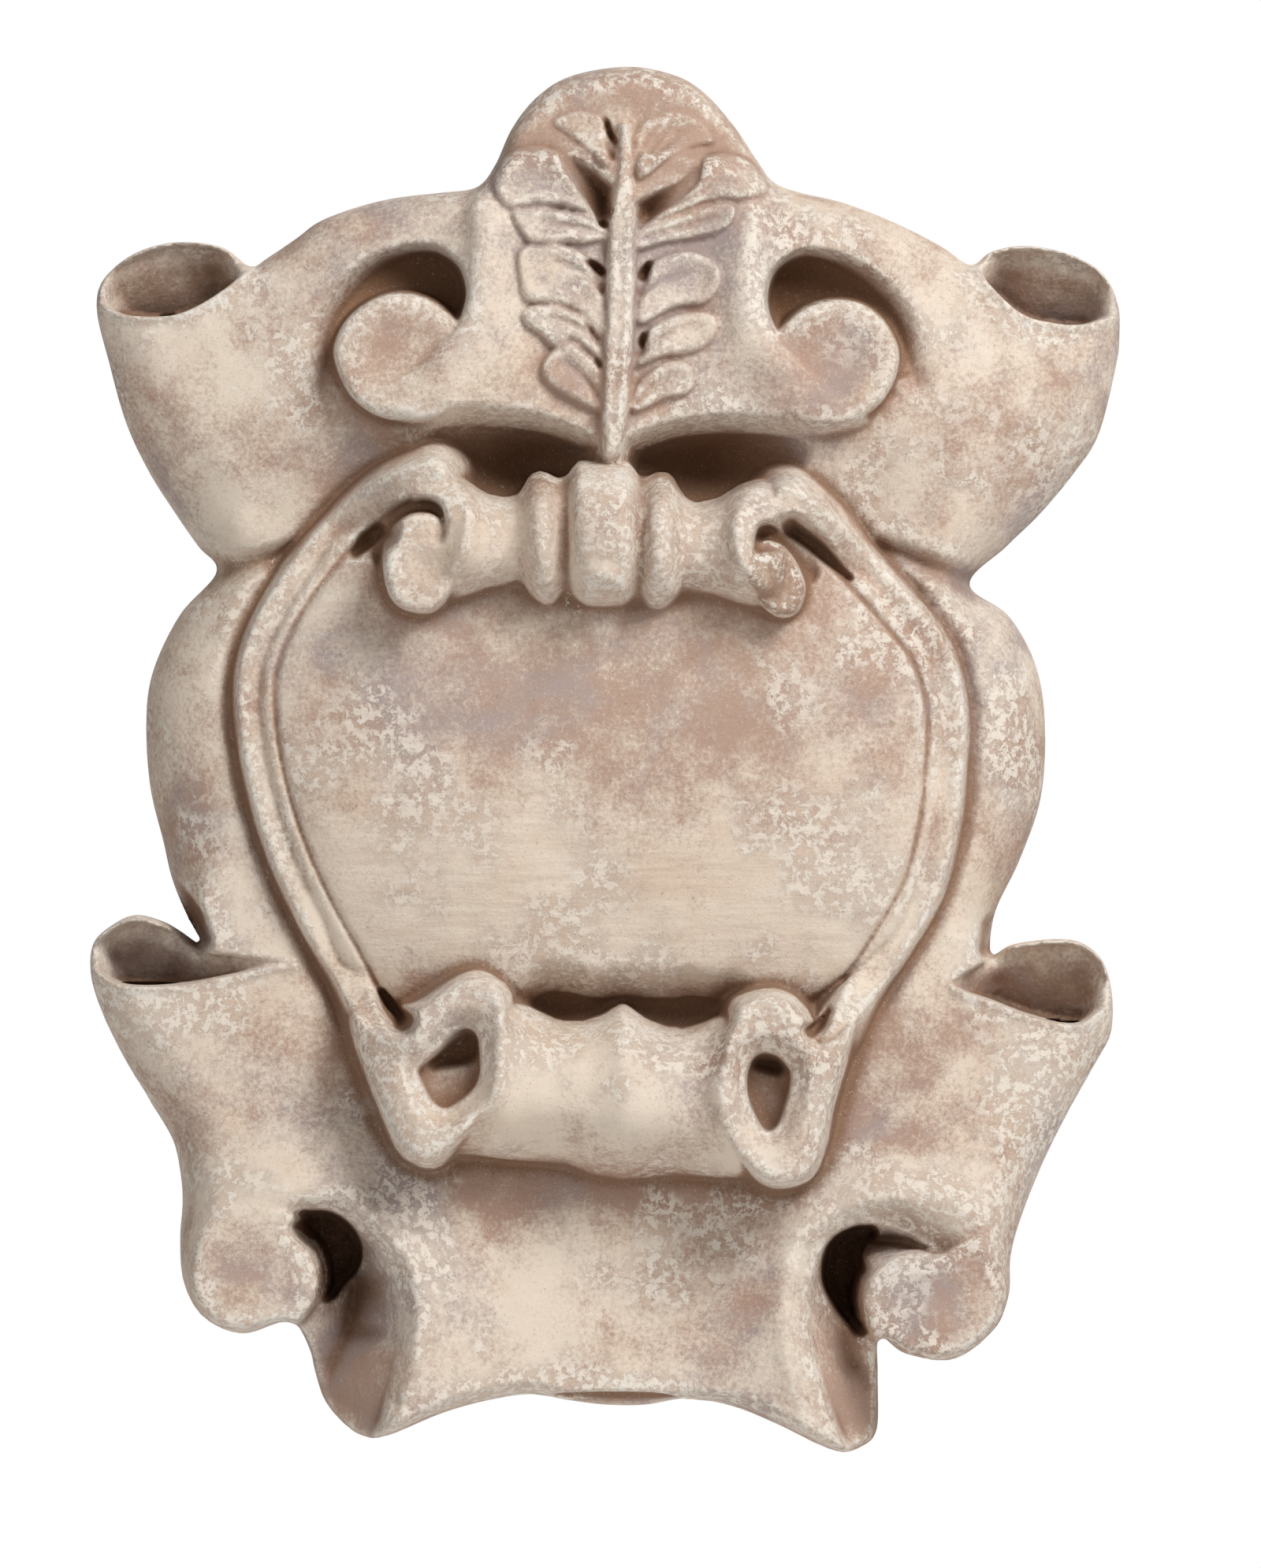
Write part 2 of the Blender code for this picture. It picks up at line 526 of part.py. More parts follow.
def model_leaf(relief):
    """Leaf on its sunk bed, with the drilled eyes beside the stem."""
    relief.height -= 8 * ease(relief.area(LEAF_BED) / 16)
    for lobe in LEAF_LOBES:
        edge, along = relief.band(lobe)
        relief.height += 17 * quarter((edge + 2) / 16) - 7 * ease(1 - np.abs(edge - 24) / 9) * ease(along * 5)
    edge = relief.band(LEAF_STEM)[0]
    relief.raise_to(edge, 282 + 30 * ease((relief.y - 180) / 380), 10, slope=4.0)
    for eye in ([(712, 244, 4), (748, 252, 9), (768, 266, 7)], [(860, 236, 4), (828, 260, 9), (808, 268, 7)],
                [(744, 336, 5), (762, 346, 7)], [(834, 340, 5), (812, 346, 7)]):
        relief.sink_to(relief.band(eye)[0], 216, 6, slope=4.0)


def front_and_back(x, y):
    """Heights of the front and of the back, how far inside the outline, and the outline's own columns."""
    path = curve([(*point, *point[:2]) for point in OUTLINE], closed=True)
    far, _, more = nearest(x, y, path, closed=True)
    within = np.where(inside(x, y, path), far, -far)
    relief = Relief(x, y)
    model_lobes(relief)
    model_field(relief)
    model_leaf_panel(relief)
    model_upper_volutes(relief)
    model_strap(relief)
    model_upper_spool(relief)
    model_lower_spool(relief)
    model_apron(relief)
    model_ears(relief)
    model_leaf(relief)
    lift = more[..., 0]
    depth_in = np.clip(within, 0, None)
    front = lift + (relief.height - lift) * quarter(depth_in / more[..., 1])
    back = lift * (1 - quarter(depth_in / more[..., 2]))
    return front, back, within, more


def to_world(x, y, height):
    """World place of a place on the drawing at a height above the wall."""
    return np.stack([(x - MIDDLE_X) * UNIT, -height * RELIEF, (MIDDLE_Y - y) * UNIT], -1)


def block_mesh():
    """Closed mesh between the relief and the back, with its border drawn on to the outline."""
    step = DRAWING_STEP / UNIT
    margin = 2 * step
    corners = np.array([point[:2] for point in OUTLINE])
    low = corners.min(0) - margin
    high = corners.max(0) + margin
    x, y = np.meshgrid(np.arange(low[0], high[0], step), np.arange(low[1], high[1], step))
    front, back, within, rim = front_and_back(x, y)
    kept = within > -0.5 * step
    cells = kept[:-1, :-1] & kept[1:, :-1] & kept[:-1, 1:] & kept[1:, 1:]
    count = np.zeros(x.shape, int)
    for rows in (slice(0, -1), slice(1, None)):
        for columns in (slice(0, -1), slice(1, None)):
            count[rows, columns] += cells
    border = (count > 0) & (count < 4)
    front = np.where(border, rim[..., 0], front)
    x = np.where(border, rim[..., 3], x)
    y = np.where(border, rim[..., 4], y)
    allowance = BACK_ALLOWANCE / RELIEF
    back = np.where(border, front, np.minimum(back, front - allowance) - allowance)

    used = count > 0
    index = np.full(x.shape, -1)
    index[used] = np.arange(used.sum())
    behind = index.copy()
    inner = used & ~border
    behind[inner] = used.sum() + np.arange(inner.sum())
    points = np.vstack([to_world(x, y, front)[used], to_world(x, y, back)[inner]])
    quads = np.stack([index[:-1, :-1], index[1:, :-1], index[1:, 1:], index[:-1, 1:]], -1)[cells]
    rear = np.stack([behind[:-1, :-1], behind[:-1, 1:], behind[1:, 1:], behind[1:, :-1]], -1)[cells]
    flat = (quads == rear[:, [0, 3, 2, 1]]).all(1)
    mesh = bpy.data.meshes.new("armorial_cartouche")
    mesh.from_pydata(points.tolist(), [], np.vstack([quads[~flat], rear[~flat]]).tolist())
    mesh.validate()
    return mesh


def cup_cutter(number, cup):
    """Tapered hollow that opens one ear downwards from its mouth."""
    x, y, half_width, lean, tilt = cup
    wall = EAR_WALL / RELIEF
    lip = 200
    half_thickness = (lip - wall - CUP_FLOOR) / 2
    middle = CUP_FLOOR + half_thickness
    rings = 7
    sides = 24
    shape = bmesh.new()
    loops = []
    for ring in range(rings):
        share = ring / (rings - 1)
        size = 1 - (1 - CUP_END) * share ** 2
        angle = np.arange(sides) * 2 * np.pi / sides
        px = x + lean * share + half_width * size * np.cos(angle)
        py = y + CUP_DEPTH / UNIT * share + tilt * (px - x)
        pz = middle + half_thickness * size * np.sin(angle)
        loops.append([shape.verts.new(place) for place in to_world(px, py, pz)])
    for one, two in zip(loops, loops[1:]):
        for i in range(sides):
            shape.faces.new((one[i], one[(i + 1) % sides], two[(i + 1) % sides], two[i]))
    shape.faces.new(loops[0][::-1])
    shape.faces.new(loops[-1])
    bmesh.ops.recalc_face_normals(shape, faces=shape.faces)
    mesh = bpy.data.meshes.new(f"ear_cup_{number}")
    shape.to_mesh(mesh)
    shape.free()
    cutter = bpy.data.objects.new(f"ear_cup_{number}", mesh)
    cutter.hide_render = True
    cutter.display_type = "WIRE"
    bpy.context.scene.collection.objects.link(cutter)
    return cutter


def settle(obj):
    """Applies the object's modifiers to its mesh."""
    bpy.context.view_layer.update()
    graph = bpy.context.evaluated_depsgraph_get()
    mesh = bpy.data.meshes.new_from_object(obj.evaluated_get(graph))
    obj.modifiers.clear()
    old = obj.data
    obj.data = mesh
    bpy.data.meshes.remove(old)


def fuse(obj):
    """Fuses the masses as clay does, softens them and keeps the triangles that the form needs."""
    remesh = obj.modifiers.new("Fuse", "REMESH")
    remesh.mode = "VOXEL"
    remesh.voxel_size = VOXEL
    soften = obj.modifiers.new("Soften", "SMOOTH")
    soften.factor = 0.5
    soften.iterations = 2
    settle(obj)
    thin = obj.modifiers.new("Thin", "DECIMATE")
    obj.data.calc_loop_triangles()
    thin.ratio = TRIANGLES / len(obj.data.loop_triangles)
    settle(obj)


def flatten_back(obj):
    """Cuts the back off flat on the wall plane."""
    shape = bmesh.new()
    shape.from_mesh(obj.data)
    everything = shape.verts[:] + shape.edges[:] + shape.faces[:]
    cut = bmesh.ops.bisect_plane(shape, geom=everything, dist=1e-6, plane_co=(0, 0, 0), plane_no=(0, 1, 0),
                                 clear_outer=True)
    edges = [item for item in cut["geom_cut"] if isinstance(item, bmesh.types.BMEdge)]
    bmesh.ops.edgeloop_fill(shape, edges=edges)
    bmesh.ops.recalc_face_normals(shape, faces=shape.faces)
    shape.to_mesh(obj.data)
    shape.free()


def clay():
    """Limewashed fired clay."""
    material = bpy.data.materials.new("limewashed_clay")
    material.use_nodes = True
    shader = material.node_tree.nodes["Principled BSDF"]
    shader.inputs["Base Color"].default_value = (0.52, 0.41, 0.32, 1)
    shader.inputs["Roughness"].default_value = 0.92
    shader.inputs["Metallic"].default_value = 0.0
    return material


def main():
    for obj in list(bpy.data.objects):
        bpy.data.objects.remove(obj)
    panel = bpy.data.objects.new("armorial_cartouche", block_mesh())
    bpy.context.scene.collection.objects.link(panel)
    cutters = [cup_cutter(number, cup) for number, cup in enumerate(CUPS)]
    for cutter in cutters:
        cut = panel.modifiers.new(cutter.name, "BOOLEAN")
        cut.operation = "DIFFERENCE"
        cut.solver = "EXACT"
        cut.object = cutter
    settle(panel)
    for cutter in cutters:
        bpy.data.objects.remove(cutter)
    fuse(panel)
    flatten_back(panel)
    panel.data.materials.append(clay())
    panel.data.shade_smooth()
    panel.data.set_sharp_from_angle(angle=np.radians(50))


main()
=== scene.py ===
"""Armorial panel: a strapwork cartouche in limewashed fired clay, dressed over its solid.

The front is drawn as seen from straight ahead. A place on the drawing is (x, y) in drawn units, x to the
right and y down, and heights above the wall are in relief units. Both units come from the solid's own box.
Each part of the ornament is a class that works the clay: it lays on, raises, sinks and incises.
"""

import logging
import math
from dataclasses import dataclass
from enum import Enum

import bmesh
import bpy
import numpy as np
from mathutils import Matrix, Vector


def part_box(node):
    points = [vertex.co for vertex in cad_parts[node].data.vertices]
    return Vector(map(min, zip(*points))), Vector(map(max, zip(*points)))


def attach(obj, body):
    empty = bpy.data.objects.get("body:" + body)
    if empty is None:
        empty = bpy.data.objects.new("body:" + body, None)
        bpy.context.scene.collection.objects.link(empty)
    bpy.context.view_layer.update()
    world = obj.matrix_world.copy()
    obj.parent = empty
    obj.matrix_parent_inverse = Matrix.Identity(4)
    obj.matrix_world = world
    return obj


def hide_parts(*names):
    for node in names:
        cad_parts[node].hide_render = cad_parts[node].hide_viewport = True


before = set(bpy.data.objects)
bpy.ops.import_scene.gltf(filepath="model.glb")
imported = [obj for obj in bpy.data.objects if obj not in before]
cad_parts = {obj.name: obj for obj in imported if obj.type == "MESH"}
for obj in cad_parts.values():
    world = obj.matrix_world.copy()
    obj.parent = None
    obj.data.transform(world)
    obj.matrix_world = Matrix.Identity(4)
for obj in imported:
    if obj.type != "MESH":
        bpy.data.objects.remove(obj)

LOG = logging.getLogger("armorial_panel")
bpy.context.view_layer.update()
NODE = "armorial_cartouche"
SLOT = "limewashed_clay"

# The drawing: its height, its middle, its highest relief, and its frame in the photograph's pixels
DRAWN_HEIGHT = 1763.0
MIDDLE_X = 770.0
MIDDLE_Y = 965.0
RELIEF_TOP = 400.0
FRAME_WIDTH = 1600.0
FRAME_HEIGHT = 1990.0
FAR_OFF = 1.0e4

Point = tuple[float, ...]
Line = tuple[Point, ...]
Colour = tuple[float, float, float, float]


class Grain(Enum):
    """How fine the panel is modelled: net spacing in drawn units, voxel in metres, triangles."""

    DRAFT = (4.0, 0.0026, 150_000)
    FULL = (2.4, 0.0016, 196_000)


def ease(t: np.ndarray) -> np.ndarray:
    """Smooth step from 0 to 1."""
    t = np.clip(t, 0, 1)
    return t * t * (3 - 2 * t)


def quarter(t: np.ndarray) -> np.ndarray:
    """Quarter round from 0 to 1, upright at its start and level at its end."""
    return np.sqrt(1 - (1 - np.clip(t, 0, 1)) ** 2)


def blended_max(a: np.ndarray, b: np.ndarray, blend: float) -> np.ndarray:
    """The higher of the two, with a fillet where they meet.

    Args:
        a: Heights.
        b: Other heights.
        blend: Width of the fillet, in relief units.

    Returns:
        The blended heights.
    """
    share = np.clip(0.5 + 0.5 * (a - b) / blend, 0, 1)
    return b + (a - b) * share + blend * share * (1 - share)


def curve(points: Line, closed: bool = False, step: float = 6.0) -> np.ndarray:
    """Draws a smooth curve through the points; further columns, such as a width, follow along.

    Args:
        points: Places on the drawing, each x, y and any further columns.
        closed: Whether the curve runs back to its start.
        step: Rough spacing of the places on it.

    Returns:
        One row for each place.
    """
    p = np.asarray(points, float)
    n = len(p)
    pieces = []
    for i in range(n if closed else n - 1):
        before = p[i - 1] if closed or i > 0 else 2 * p[0] - p[1]
        start = p[i]
        end = p[(i + 1) % n]
        after = p[(i + 2) % n] if closed or i + 2 < n else 2 * p[-1] - p[-2]
        count = max(1, int(round(np.hypot(*(end - start)[:2]) / step)))
        t = (np.arange(count) / count)[:, None]
        pieces.append(0.5 * (2 * start + (end - before) * t
                             + (2 * before - 5 * start + 4 * end - after) * t ** 2
                             + (3 * start - before - 3 * end + after) * t ** 3))
    if not closed:
        pieces.append(p[-1:])
    return np.vstack(pieces)


def softened(values: np.ndarray, reach: int, weight: np.ndarray) -> np.ndarray:
    """Blurs a net of values over what the weight marks as clay.

    Args:
        values: Net of values.
        reach: Half width of the blur, in cells.
        weight: 1 on clay and 0 off it.

    Returns:
        The blurred net.
    """
    total = values * weight
    share = weight.astype(float)
    for _ in range(2):
        for axis in (0, 1):
            nets = []
            for net in (total, share):
                pad = [(reach + 1, reach) if axis == k else (0, 0) for k in (0, 1)]
                run = np.cumsum(np.pad(net, pad, mode="edge"), axis=axis)
                size = net.shape[axis]
                high = np.take(run, np.arange(2 * reach + 1, 2 * reach + 1 + size), axis=axis)
                low = np.take(run, np.arange(0, size), axis=axis)
                nets.append((high - low) / (2 * reach + 1))
            total, share = nets
    return total / np.maximum(share, 1e-3)


def blended_cells(net: np.ndarray, place: tuple[np.ndarray, ...],
                  share: tuple[np.ndarray, ...]) -> np.ndarray:
    """Reads a net of values between its places.

    Args:
        net: The values.
        place: Columns and rows to the upper left.
        share: How far on to the next column and row.

    Returns:
        One value for each place.
    """
    (i, j), (s, t) = place, share
    upper = net[j, i] * (1 - s) + net[j, i + 1] * s
    lower = net[j + 1, i] * (1 - s) + net[j + 1, i + 1] * s
    return upper * (1 - t) + lower * t


def vectors(mesh: bpy.types.Mesh, name: str) -> np.ndarray:
    """Reads a vector of each vertex.

    Args:
        mesh: The mesh.
        name: Which vector, co or normal.

    Returns:
        One row for each vertex.
    """
    rows = np.empty(len(mesh.vertices) * 3)
    mesh.vertices.foreach_get(name, rows)
    return rows.reshape(-1, 3)


class Clay:
    """The sheet of clay on the drawing board: a net of heights that every ornament works on."""

    def __init__(self, low: np.ndarray, high: np.ndarray, step: float) -> None:
        """Spans the net between two corners of the drawing.

        Args:
            low: Upper left corner of the drawing.
            high: Lower right corner.
            step: Spacing of the net, in drawn units.
        """
        self.low = np.asarray(low, float)
        self.step = step
        self.x, self.y = np.meshgrid(np.arange(low[0], high[0], step), np.arange(low[1], high[1], step))
        self.height = np.zeros(self.x.shape)
        # Dirt and painted shade: darkens the colour in hollows, creases, pits and caves, where shade falls
        # as well as dirt
        self.dirt_and_shade = np.zeros(self.x.shape)
        self.brushed = np.zeros(self.x.shape)
        self.shelter = np.zeros(self.x.shape)
        # Lighter and darker patches of wash, some of them painted shade and painted light
        self.tone = np.zeros(self.x.shape)

    def cut_out(self, low: np.ndarray, high: np.ndarray) -> tuple[slice, slice]:
        """Rows and columns of the net between two corners.

        Args:
            low: Upper left corner.
            high: Lower right corner.

        Returns:
            The rows and the columns.
        """
        first = np.maximum(np.floor((low - self.low) / self.step).astype(int), 0)
        last = np.maximum(np.ceil((high - self.low) / self.step).astype(int) + 1, 0)
        return slice(first[1], last[1]), slice(first[0], last[0])

    def trace(self, path: np.ndarray, margin: float, closed: bool = False) -> tuple[np.ndarray, np.ndarray]:
        """Measures how far each place is from a path.

        Args:
            path: Rows of x and y.
            margin: How far from the path it is measured.
            closed: Whether the path runs back to its start.

        Returns:
            The distance, and the number of rows along the path at the nearest place.
        """
        if closed:
            path = np.vstack([path, path[:1]])
        best = np.full(self.x.shape, FAR_OFF ** 2)
        where = np.zeros(self.x.shape)
        for i in range(len(path) - 1):
            start = path[i, :2]
            run = path[i + 1, :2] - start
            length = float(run @ run)
            if length == 0:
                continue
            end = start + run
            box = self.cut_out(np.minimum(start, end) - margin, np.maximum(start, end) + margin)
            dx = self.x[box] - start[0]
            dy = self.y[box] - start[1]
            t = np.clip((dx * run[0] + dy * run[1]) / length, 0, 1)
            far = (dx - t * run[0]) ** 2 + (dy - t * run[1]) ** 2
            closer = far < best[box]
            best[box] = np.where(closer, far, best[box])
            where[box] = np.where(closer, i + t, where[box])
        return np.sqrt(best), where

    def columns(self, path: np.ndarray, where: np.ndarray) -> np.ndarray:
        """The path's further columns at each place's nearest point.

        Args:
            path: Rows of x, y and the further columns.
            where: Number of rows along the path, for each place.

        Returns:
            The columns' values.
        """
        low = np.minimum(where.astype(int), len(path) - 2)
        part = (where - low)[..., None]
        return path[low, 2:] * (1 - part) + path[low + 1, 2:] * part

    def band(self, points: Line, margin: float = 70.0) -> tuple[np.ndarray, np.ndarray]:
        """Measures a stroke.

        Args:
            points: Rows of x, y and half width.
            margin: How far around the stroke it is measured.

        Returns:
            How far inside the stroke each place is, and the share along it.
        """
        path = curve(points)
        far, where = self.trace(path, margin)
        width = self.columns(path, where)[..., 0]
        reached = far < FAR_OFF / 2
        return np.where(reached, width - far, -FAR_OFF), where / (len(path) - 1)

    def within(self, path: np.ndarray) -> np.ndarray:
        """True inside a closed path.

        Args:
            path: Rows of x and y.

        Returns:
            Whether each place is inside.
        """
        odd = np.zeros(self.x.shape, bool)
        ax, ay = path[-1, :2]
        for bx, by in path[:, :2]:
            if ay != by:
                rows = self.cut_out(np.array([0, min(ay, by)]), np.array([0, max(ay, by)]))[0]
                y = self.y[rows]
                odd[rows] ^= ((ay > y) != (by > y)) & (self.x[rows] < (bx - ax) * (y - ay) / (by - ay) + ax)
            ax, ay = bx, by
        return odd

    def area(self, points: Line, margin: float = 60.0) -> np.ndarray:
        """How far inside a closed outline each place is.

        Args:
            points: Rows of x and y.
            margin: How far from the outline it is measured.

        Returns:
            The distance, below 0 outside.
        """
        path = curve(points, closed=True)
        far = self.trace(path, margin, closed=True)[0]
        return np.where(self.within(path), np.minimum(far, margin), -far)

    def oval(self, middle: Point, radii: Point) -> np.ndarray:
        """How far inside an upright oval each place is, near enough.

        Args:
            middle: Its x and y.
            radii: Its radii across and down.

        Returns:
            The distance.
        """
        reach = np.hypot((self.x - middle[0]) / radii[0], (self.y - middle[1]) / radii[1])
        return (1 - reach) * min(radii)

    def hang(self, knots: Line) -> None:
        """Hangs the sheet through knots of x, y and height.

        Args:
            knots: Rows of x, y and height.
        """
        k = np.asarray(knots, float)
        n = len(k)
        span = 1000.0

        def bend(square: np.ndarray) -> np.ndarray:
            """The pull of a knot at a squared distance."""
            return square * np.log(np.maximum(square, 1e-12))

        kx = k[:, 0] / span
        ky = k[:, 1] / span
        system = np.zeros((n + 3, n + 3))
        system[:n, :n] = bend((kx[:, None] - kx) ** 2 + (ky[:, None] - ky) ** 2) + 1e-4 * np.eye(n)
        system[:n, n:] = np.stack([np.ones(n), kx, ky], 1)
        system[n:, :n] = system[:n, n:].T
        pull = np.linalg.solve(system, np.append(k[:, 2], (0, 0, 0)))
        gx = self.x / span
        gy = self.y / span
        self.height = pull[n] + pull[n + 1] * gx + pull[n + 2] * gy
        for i in range(n):
            self.height += pull[i] * bend((gx - kx[i]) ** 2 + (gy - ky[i]) ** 2)

    def lay(self, edge: np.ndarray, target: np.ndarray | float, soft: float) -> None:
        """Gives the inside of a region its own height, over a soft edge.

        Args:
            edge: How far inside the region each place is.
            target: The new height.
            soft: Half width of the edge.
        """
        self.height += (target - self.height) * ease((edge + soft) / (2 * soft))

    def raise_to(self, edge: np.ndarray, top: np.ndarray | float, rounding: float,
                 slope: float = 9.0, blend: float = 5.0) -> None:
        """Builds up a piece with a rounded shoulder and steep sides.

        Args:
            edge: How far inside the piece each place is.
            top: Height of its top.
            rounding: Radius of its shoulder.
            slope: Steepness of its sides.
            blend: Fillet at its foot.
        """
        shoulder = top - rounding * (1 - quarter(edge / rounding))
        side = top - rounding + slope * edge
        self.height = blended_max(self.height, np.where(edge > 0, shoulder, side), blend)

    def sink_to(self, edge: np.ndarray, floor: np.ndarray | float, dish: float,
                slope: float = 7.0, blend: float = 7.0) -> None:
        """Digs a hollow with steep sides and a dished floor.

        Args:
            edge: How far inside the hollow each place is.
            floor: Height of its floor.
            dish: How far in its floor is dished.
            slope: Steepness of its sides.
            blend: Rounding of its brim.
        """
        bowl = floor + dish * (1 - quarter(edge / dish))
        side = floor + dish - slope * edge
        self.height = -blended_max(-self.height, -np.where(edge > 0, bowl, side), blend)

    def incise(self, points: Line, depth: float, width: float) -> None:
        """Draws a line into the clay with a tool of the given width.

        Args:
            points: Rows of x and y.
            depth: How deep it goes.
            width: Half width of the line.
        """
        edge = self.band(tuple((x, y, 0.0) for x, y in points), margin=width * 4)[0]
        self.height -= depth * np.exp(-(np.clip(edge, -FAR_OFF, 0) / width) ** 2)

    def swell(self, points: Line, rise: float, reach: float) -> None:
        """Swells the clay gently along a line.

        Args:
            points: Rows of x, y and share of the rise.
            rise: Height of the swell.
            reach: How far to each side it goes.
        """
        path = curve(points)
        far, where = self.trace(path, reach * 2.6)
        share = self.columns(path, where)[..., 0]
        self.height += rise * share * np.exp(-(far / reach) ** 2)

    def soil_and_shade(self, edge: np.ndarray, amount: float, soft: float) -> None:
        """Marks dirt and painted shade inside a region, fading over a soft edge.

        Args:
            edge: How far inside the region each place is.
            amount: Dirt and painted shade inside it.
            soft: Half width of the edge.
        """
        self.dirt_and_shade = np.maximum(self.dirt_and_shade, amount * ease((edge + soft) / (2 * soft)))


@dataclass(frozen=True)
class Outline:
    """Silhouette of the panel: x, y, height of the edge, and how far in front and back are rounded."""

    crest: Line = (
        (560, 243, 170, 30, 90), (604, 236, 165, 24, 90), (627, 208, 160, 22, 90), (649, 160, 155, 22, 80),
        (682, 119, 150, 24, 80), (726, 93, 150, 26, 80), (797, 82, 150, 26, 80), (856, 93, 150, 26, 80),
        (893, 115, 150, 24, 80), (930, 156, 155, 22, 80), (960, 201, 160, 22, 90), (982, 230, 165, 24, 90),
        (1015, 243, 170, 30, 90),
    )
    right_side: Line = (
        (1070, 256, 170, 36, 100), (1133, 280, 165, 40, 100), (1194, 310, 150, 36, 100),
        (1233, 334, 140, 24, 100), (1259, 317, 130, 14, 90), (1302, 309, 125, 14, 90),
        (1358, 319, 125, 14, 90), (1402, 345, 130, 16, 90), (1421, 385, 135, 34, 90),
        (1423, 425, 130, 50, 90), (1419, 462, 125, 70, 90), (1397, 549, 115, 95, 100),
        (1367, 597, 105, 105, 100), (1324, 649, 95, 105, 100), (1280, 692, 85, 90, 90),
        (1233, 740, 75, 60, 70), (1284, 781, 75, 95, 75), (1319, 847, 75, 120, 75),
        (1330, 926, 75, 130, 75), (1324, 1014, 75, 130, 75), (1297, 1093, 75, 110, 75),
        (1266, 1159, 75, 80, 70), (1261, 1212, 80, 30, 60), (1286, 1200, 110, 14, 70),
        (1339, 1193, 110, 14, 80), (1376, 1198, 115, 14, 80), (1403, 1223, 125, 16, 80),
        (1414, 1268, 130, 36, 80), (1412, 1313, 125, 55, 80), (1395, 1347, 120, 70, 90),
        (1357, 1415, 115, 75, 90), (1324, 1482, 115, 75, 90), (1297, 1550, 120, 60, 90),
        (1284, 1599, 125, 40, 90),
    )
    foot: Line = (
        (1282, 1645, 130, 22, 80), (1263, 1689, 130, 18, 80), (1211, 1727, 130, 18, 80),
        (1150, 1721, 130, 16, 80), (1118, 1702, 70, 12, 50), (1116, 1750, 60, 12, 40),
        (1115, 1820, 60, 12, 40), (1096, 1841, 70, 14, 50), (1071, 1846, 110, 16, 60),
        (1041, 1837, 140, 20, 80), (985, 1809, 160, 24, 100), (930, 1787, 160, 26, 110),
        (874, 1780, 90, 20, 60), (819, 1789, 70, 24, 45), (767, 1789, 70, 24, 45), (715, 1782, 80, 22, 50),
        (671, 1772, 150, 26, 110), (615, 1780, 160, 26, 110), (560, 1796, 150, 24, 100),
        (495, 1823, 130, 18, 80), (463, 1828, 90, 14, 50), (436, 1815, 60, 12, 40), (409, 1785, 60, 12, 40),
        (396, 1748, 60, 12, 40), (388, 1716, 60, 12, 40), (366, 1681, 70, 12, 50), (315, 1694, 130, 18, 80),
        (280, 1688, 130, 18, 80), (248, 1665, 130, 20, 80), (229, 1625, 130, 24, 80),
    )
    left_side: Line = (
        (225, 1575, 125, 40, 90), (228, 1528, 120, 55, 90), (225, 1491, 115, 65, 90),
        (215, 1448, 115, 75, 90), (184, 1396, 115, 75, 90), (150, 1338, 120, 70, 90),
        (123, 1280, 125, 55, 80), (111, 1235, 130, 34, 80), (115, 1197, 125, 16, 80),
        (141, 1173, 115, 14, 80), (169, 1162, 110, 14, 80), (202, 1170, 110, 14, 70),
        (224, 1182, 105, 14, 60), (251, 1200, 80, 16, 50), (232, 1165, 75, 30, 60), (213, 1116, 75, 80, 70),
        (202, 1069, 75, 110, 75), (185, 998, 75, 130, 75), (180, 914, 75, 130, 75), (189, 850, 75, 125, 75),
        (223, 779, 75, 100, 75), (270, 724, 75, 60, 70), (247, 692, 85, 90, 90), (218, 650, 95, 105, 100),
        (184, 596, 105, 105, 100), (155, 533, 115, 95, 100), (134, 457, 125, 70, 90),
        (119, 394, 130, 45, 90), (125, 356, 132, 16, 90), (155, 326, 128, 14, 90), (193, 309, 125, 14, 90),
        (235, 304, 125, 14, 90), (281, 312, 130, 14, 90), (315, 336, 140, 24, 100),
        (336, 326, 150, 30, 100), (374, 301, 160, 36, 100), (403, 280, 165, 40, 100),
        (450, 262, 168, 40, 100), (500, 250, 170, 36, 100),
    )

    def points(self) -> Line:
        """The whole silhouette, clockwise from the crest's left foot."""
        return self.crest + self.right_side + self.foot + self.left_side


@dataclass(frozen=True)
class Ground:
    """Broad form of the front that everything else is laid on."""

    knots: Line = (
        (797, 100, 225), (660, 170, 225), (930, 170, 225), (797, 180, 240), (700, 300, 262),
        (880, 300, 262), (770, 420, 280), (690, 430, 282), (880, 430, 282), (690, 520, 290),
        (850, 520, 290), (770, 560, 290), (560, 262, 240), (1015, 262, 240), (430, 300, 225),
        (330, 360, 205), (250, 420, 205), (160, 440, 195), (200, 540, 205), (300, 500, 222),
        (380, 560, 228), (450, 610, 205), (300, 650, 200), (1130, 305, 225), (1215, 360, 205),
        (1290, 420, 205), (1390, 440, 195), (1350, 540, 205), (1250, 500, 222), (1165, 560, 228),
        (1090, 620, 205), (1240, 650, 200), (250, 800, 205), (240, 950, 212), (260, 1100, 205),
        (330, 780, 200), (1260, 800, 205), (1270, 950, 212), (1240, 1100, 205), (1180, 780, 200),
        (330, 1180, 205), (1210, 1200, 205), (180, 1280, 205), (250, 1300, 215), (350, 1290, 215),
        (400, 1380, 225), (280, 1450, 235), (1370, 1320, 205), (1290, 1330, 215), (1190, 1300, 215),
        (1130, 1400, 225), (1250, 1480, 235), (560, 1560, 235), (770, 1560, 225), (980, 1560, 235),
        (520, 1500, 235), (1020, 1500, 235), (560, 1680, 262), (770, 1680, 245), (980, 1680, 262),
        (600, 1765, 278), (770, 1750, 262), (960, 1775, 278), (310, 1600, 282), (1190, 1650, 282),
    )

    def work(self, clay: Clay) -> None:
        """Hangs the sheet through its knots."""
        clay.hang(self.knots)


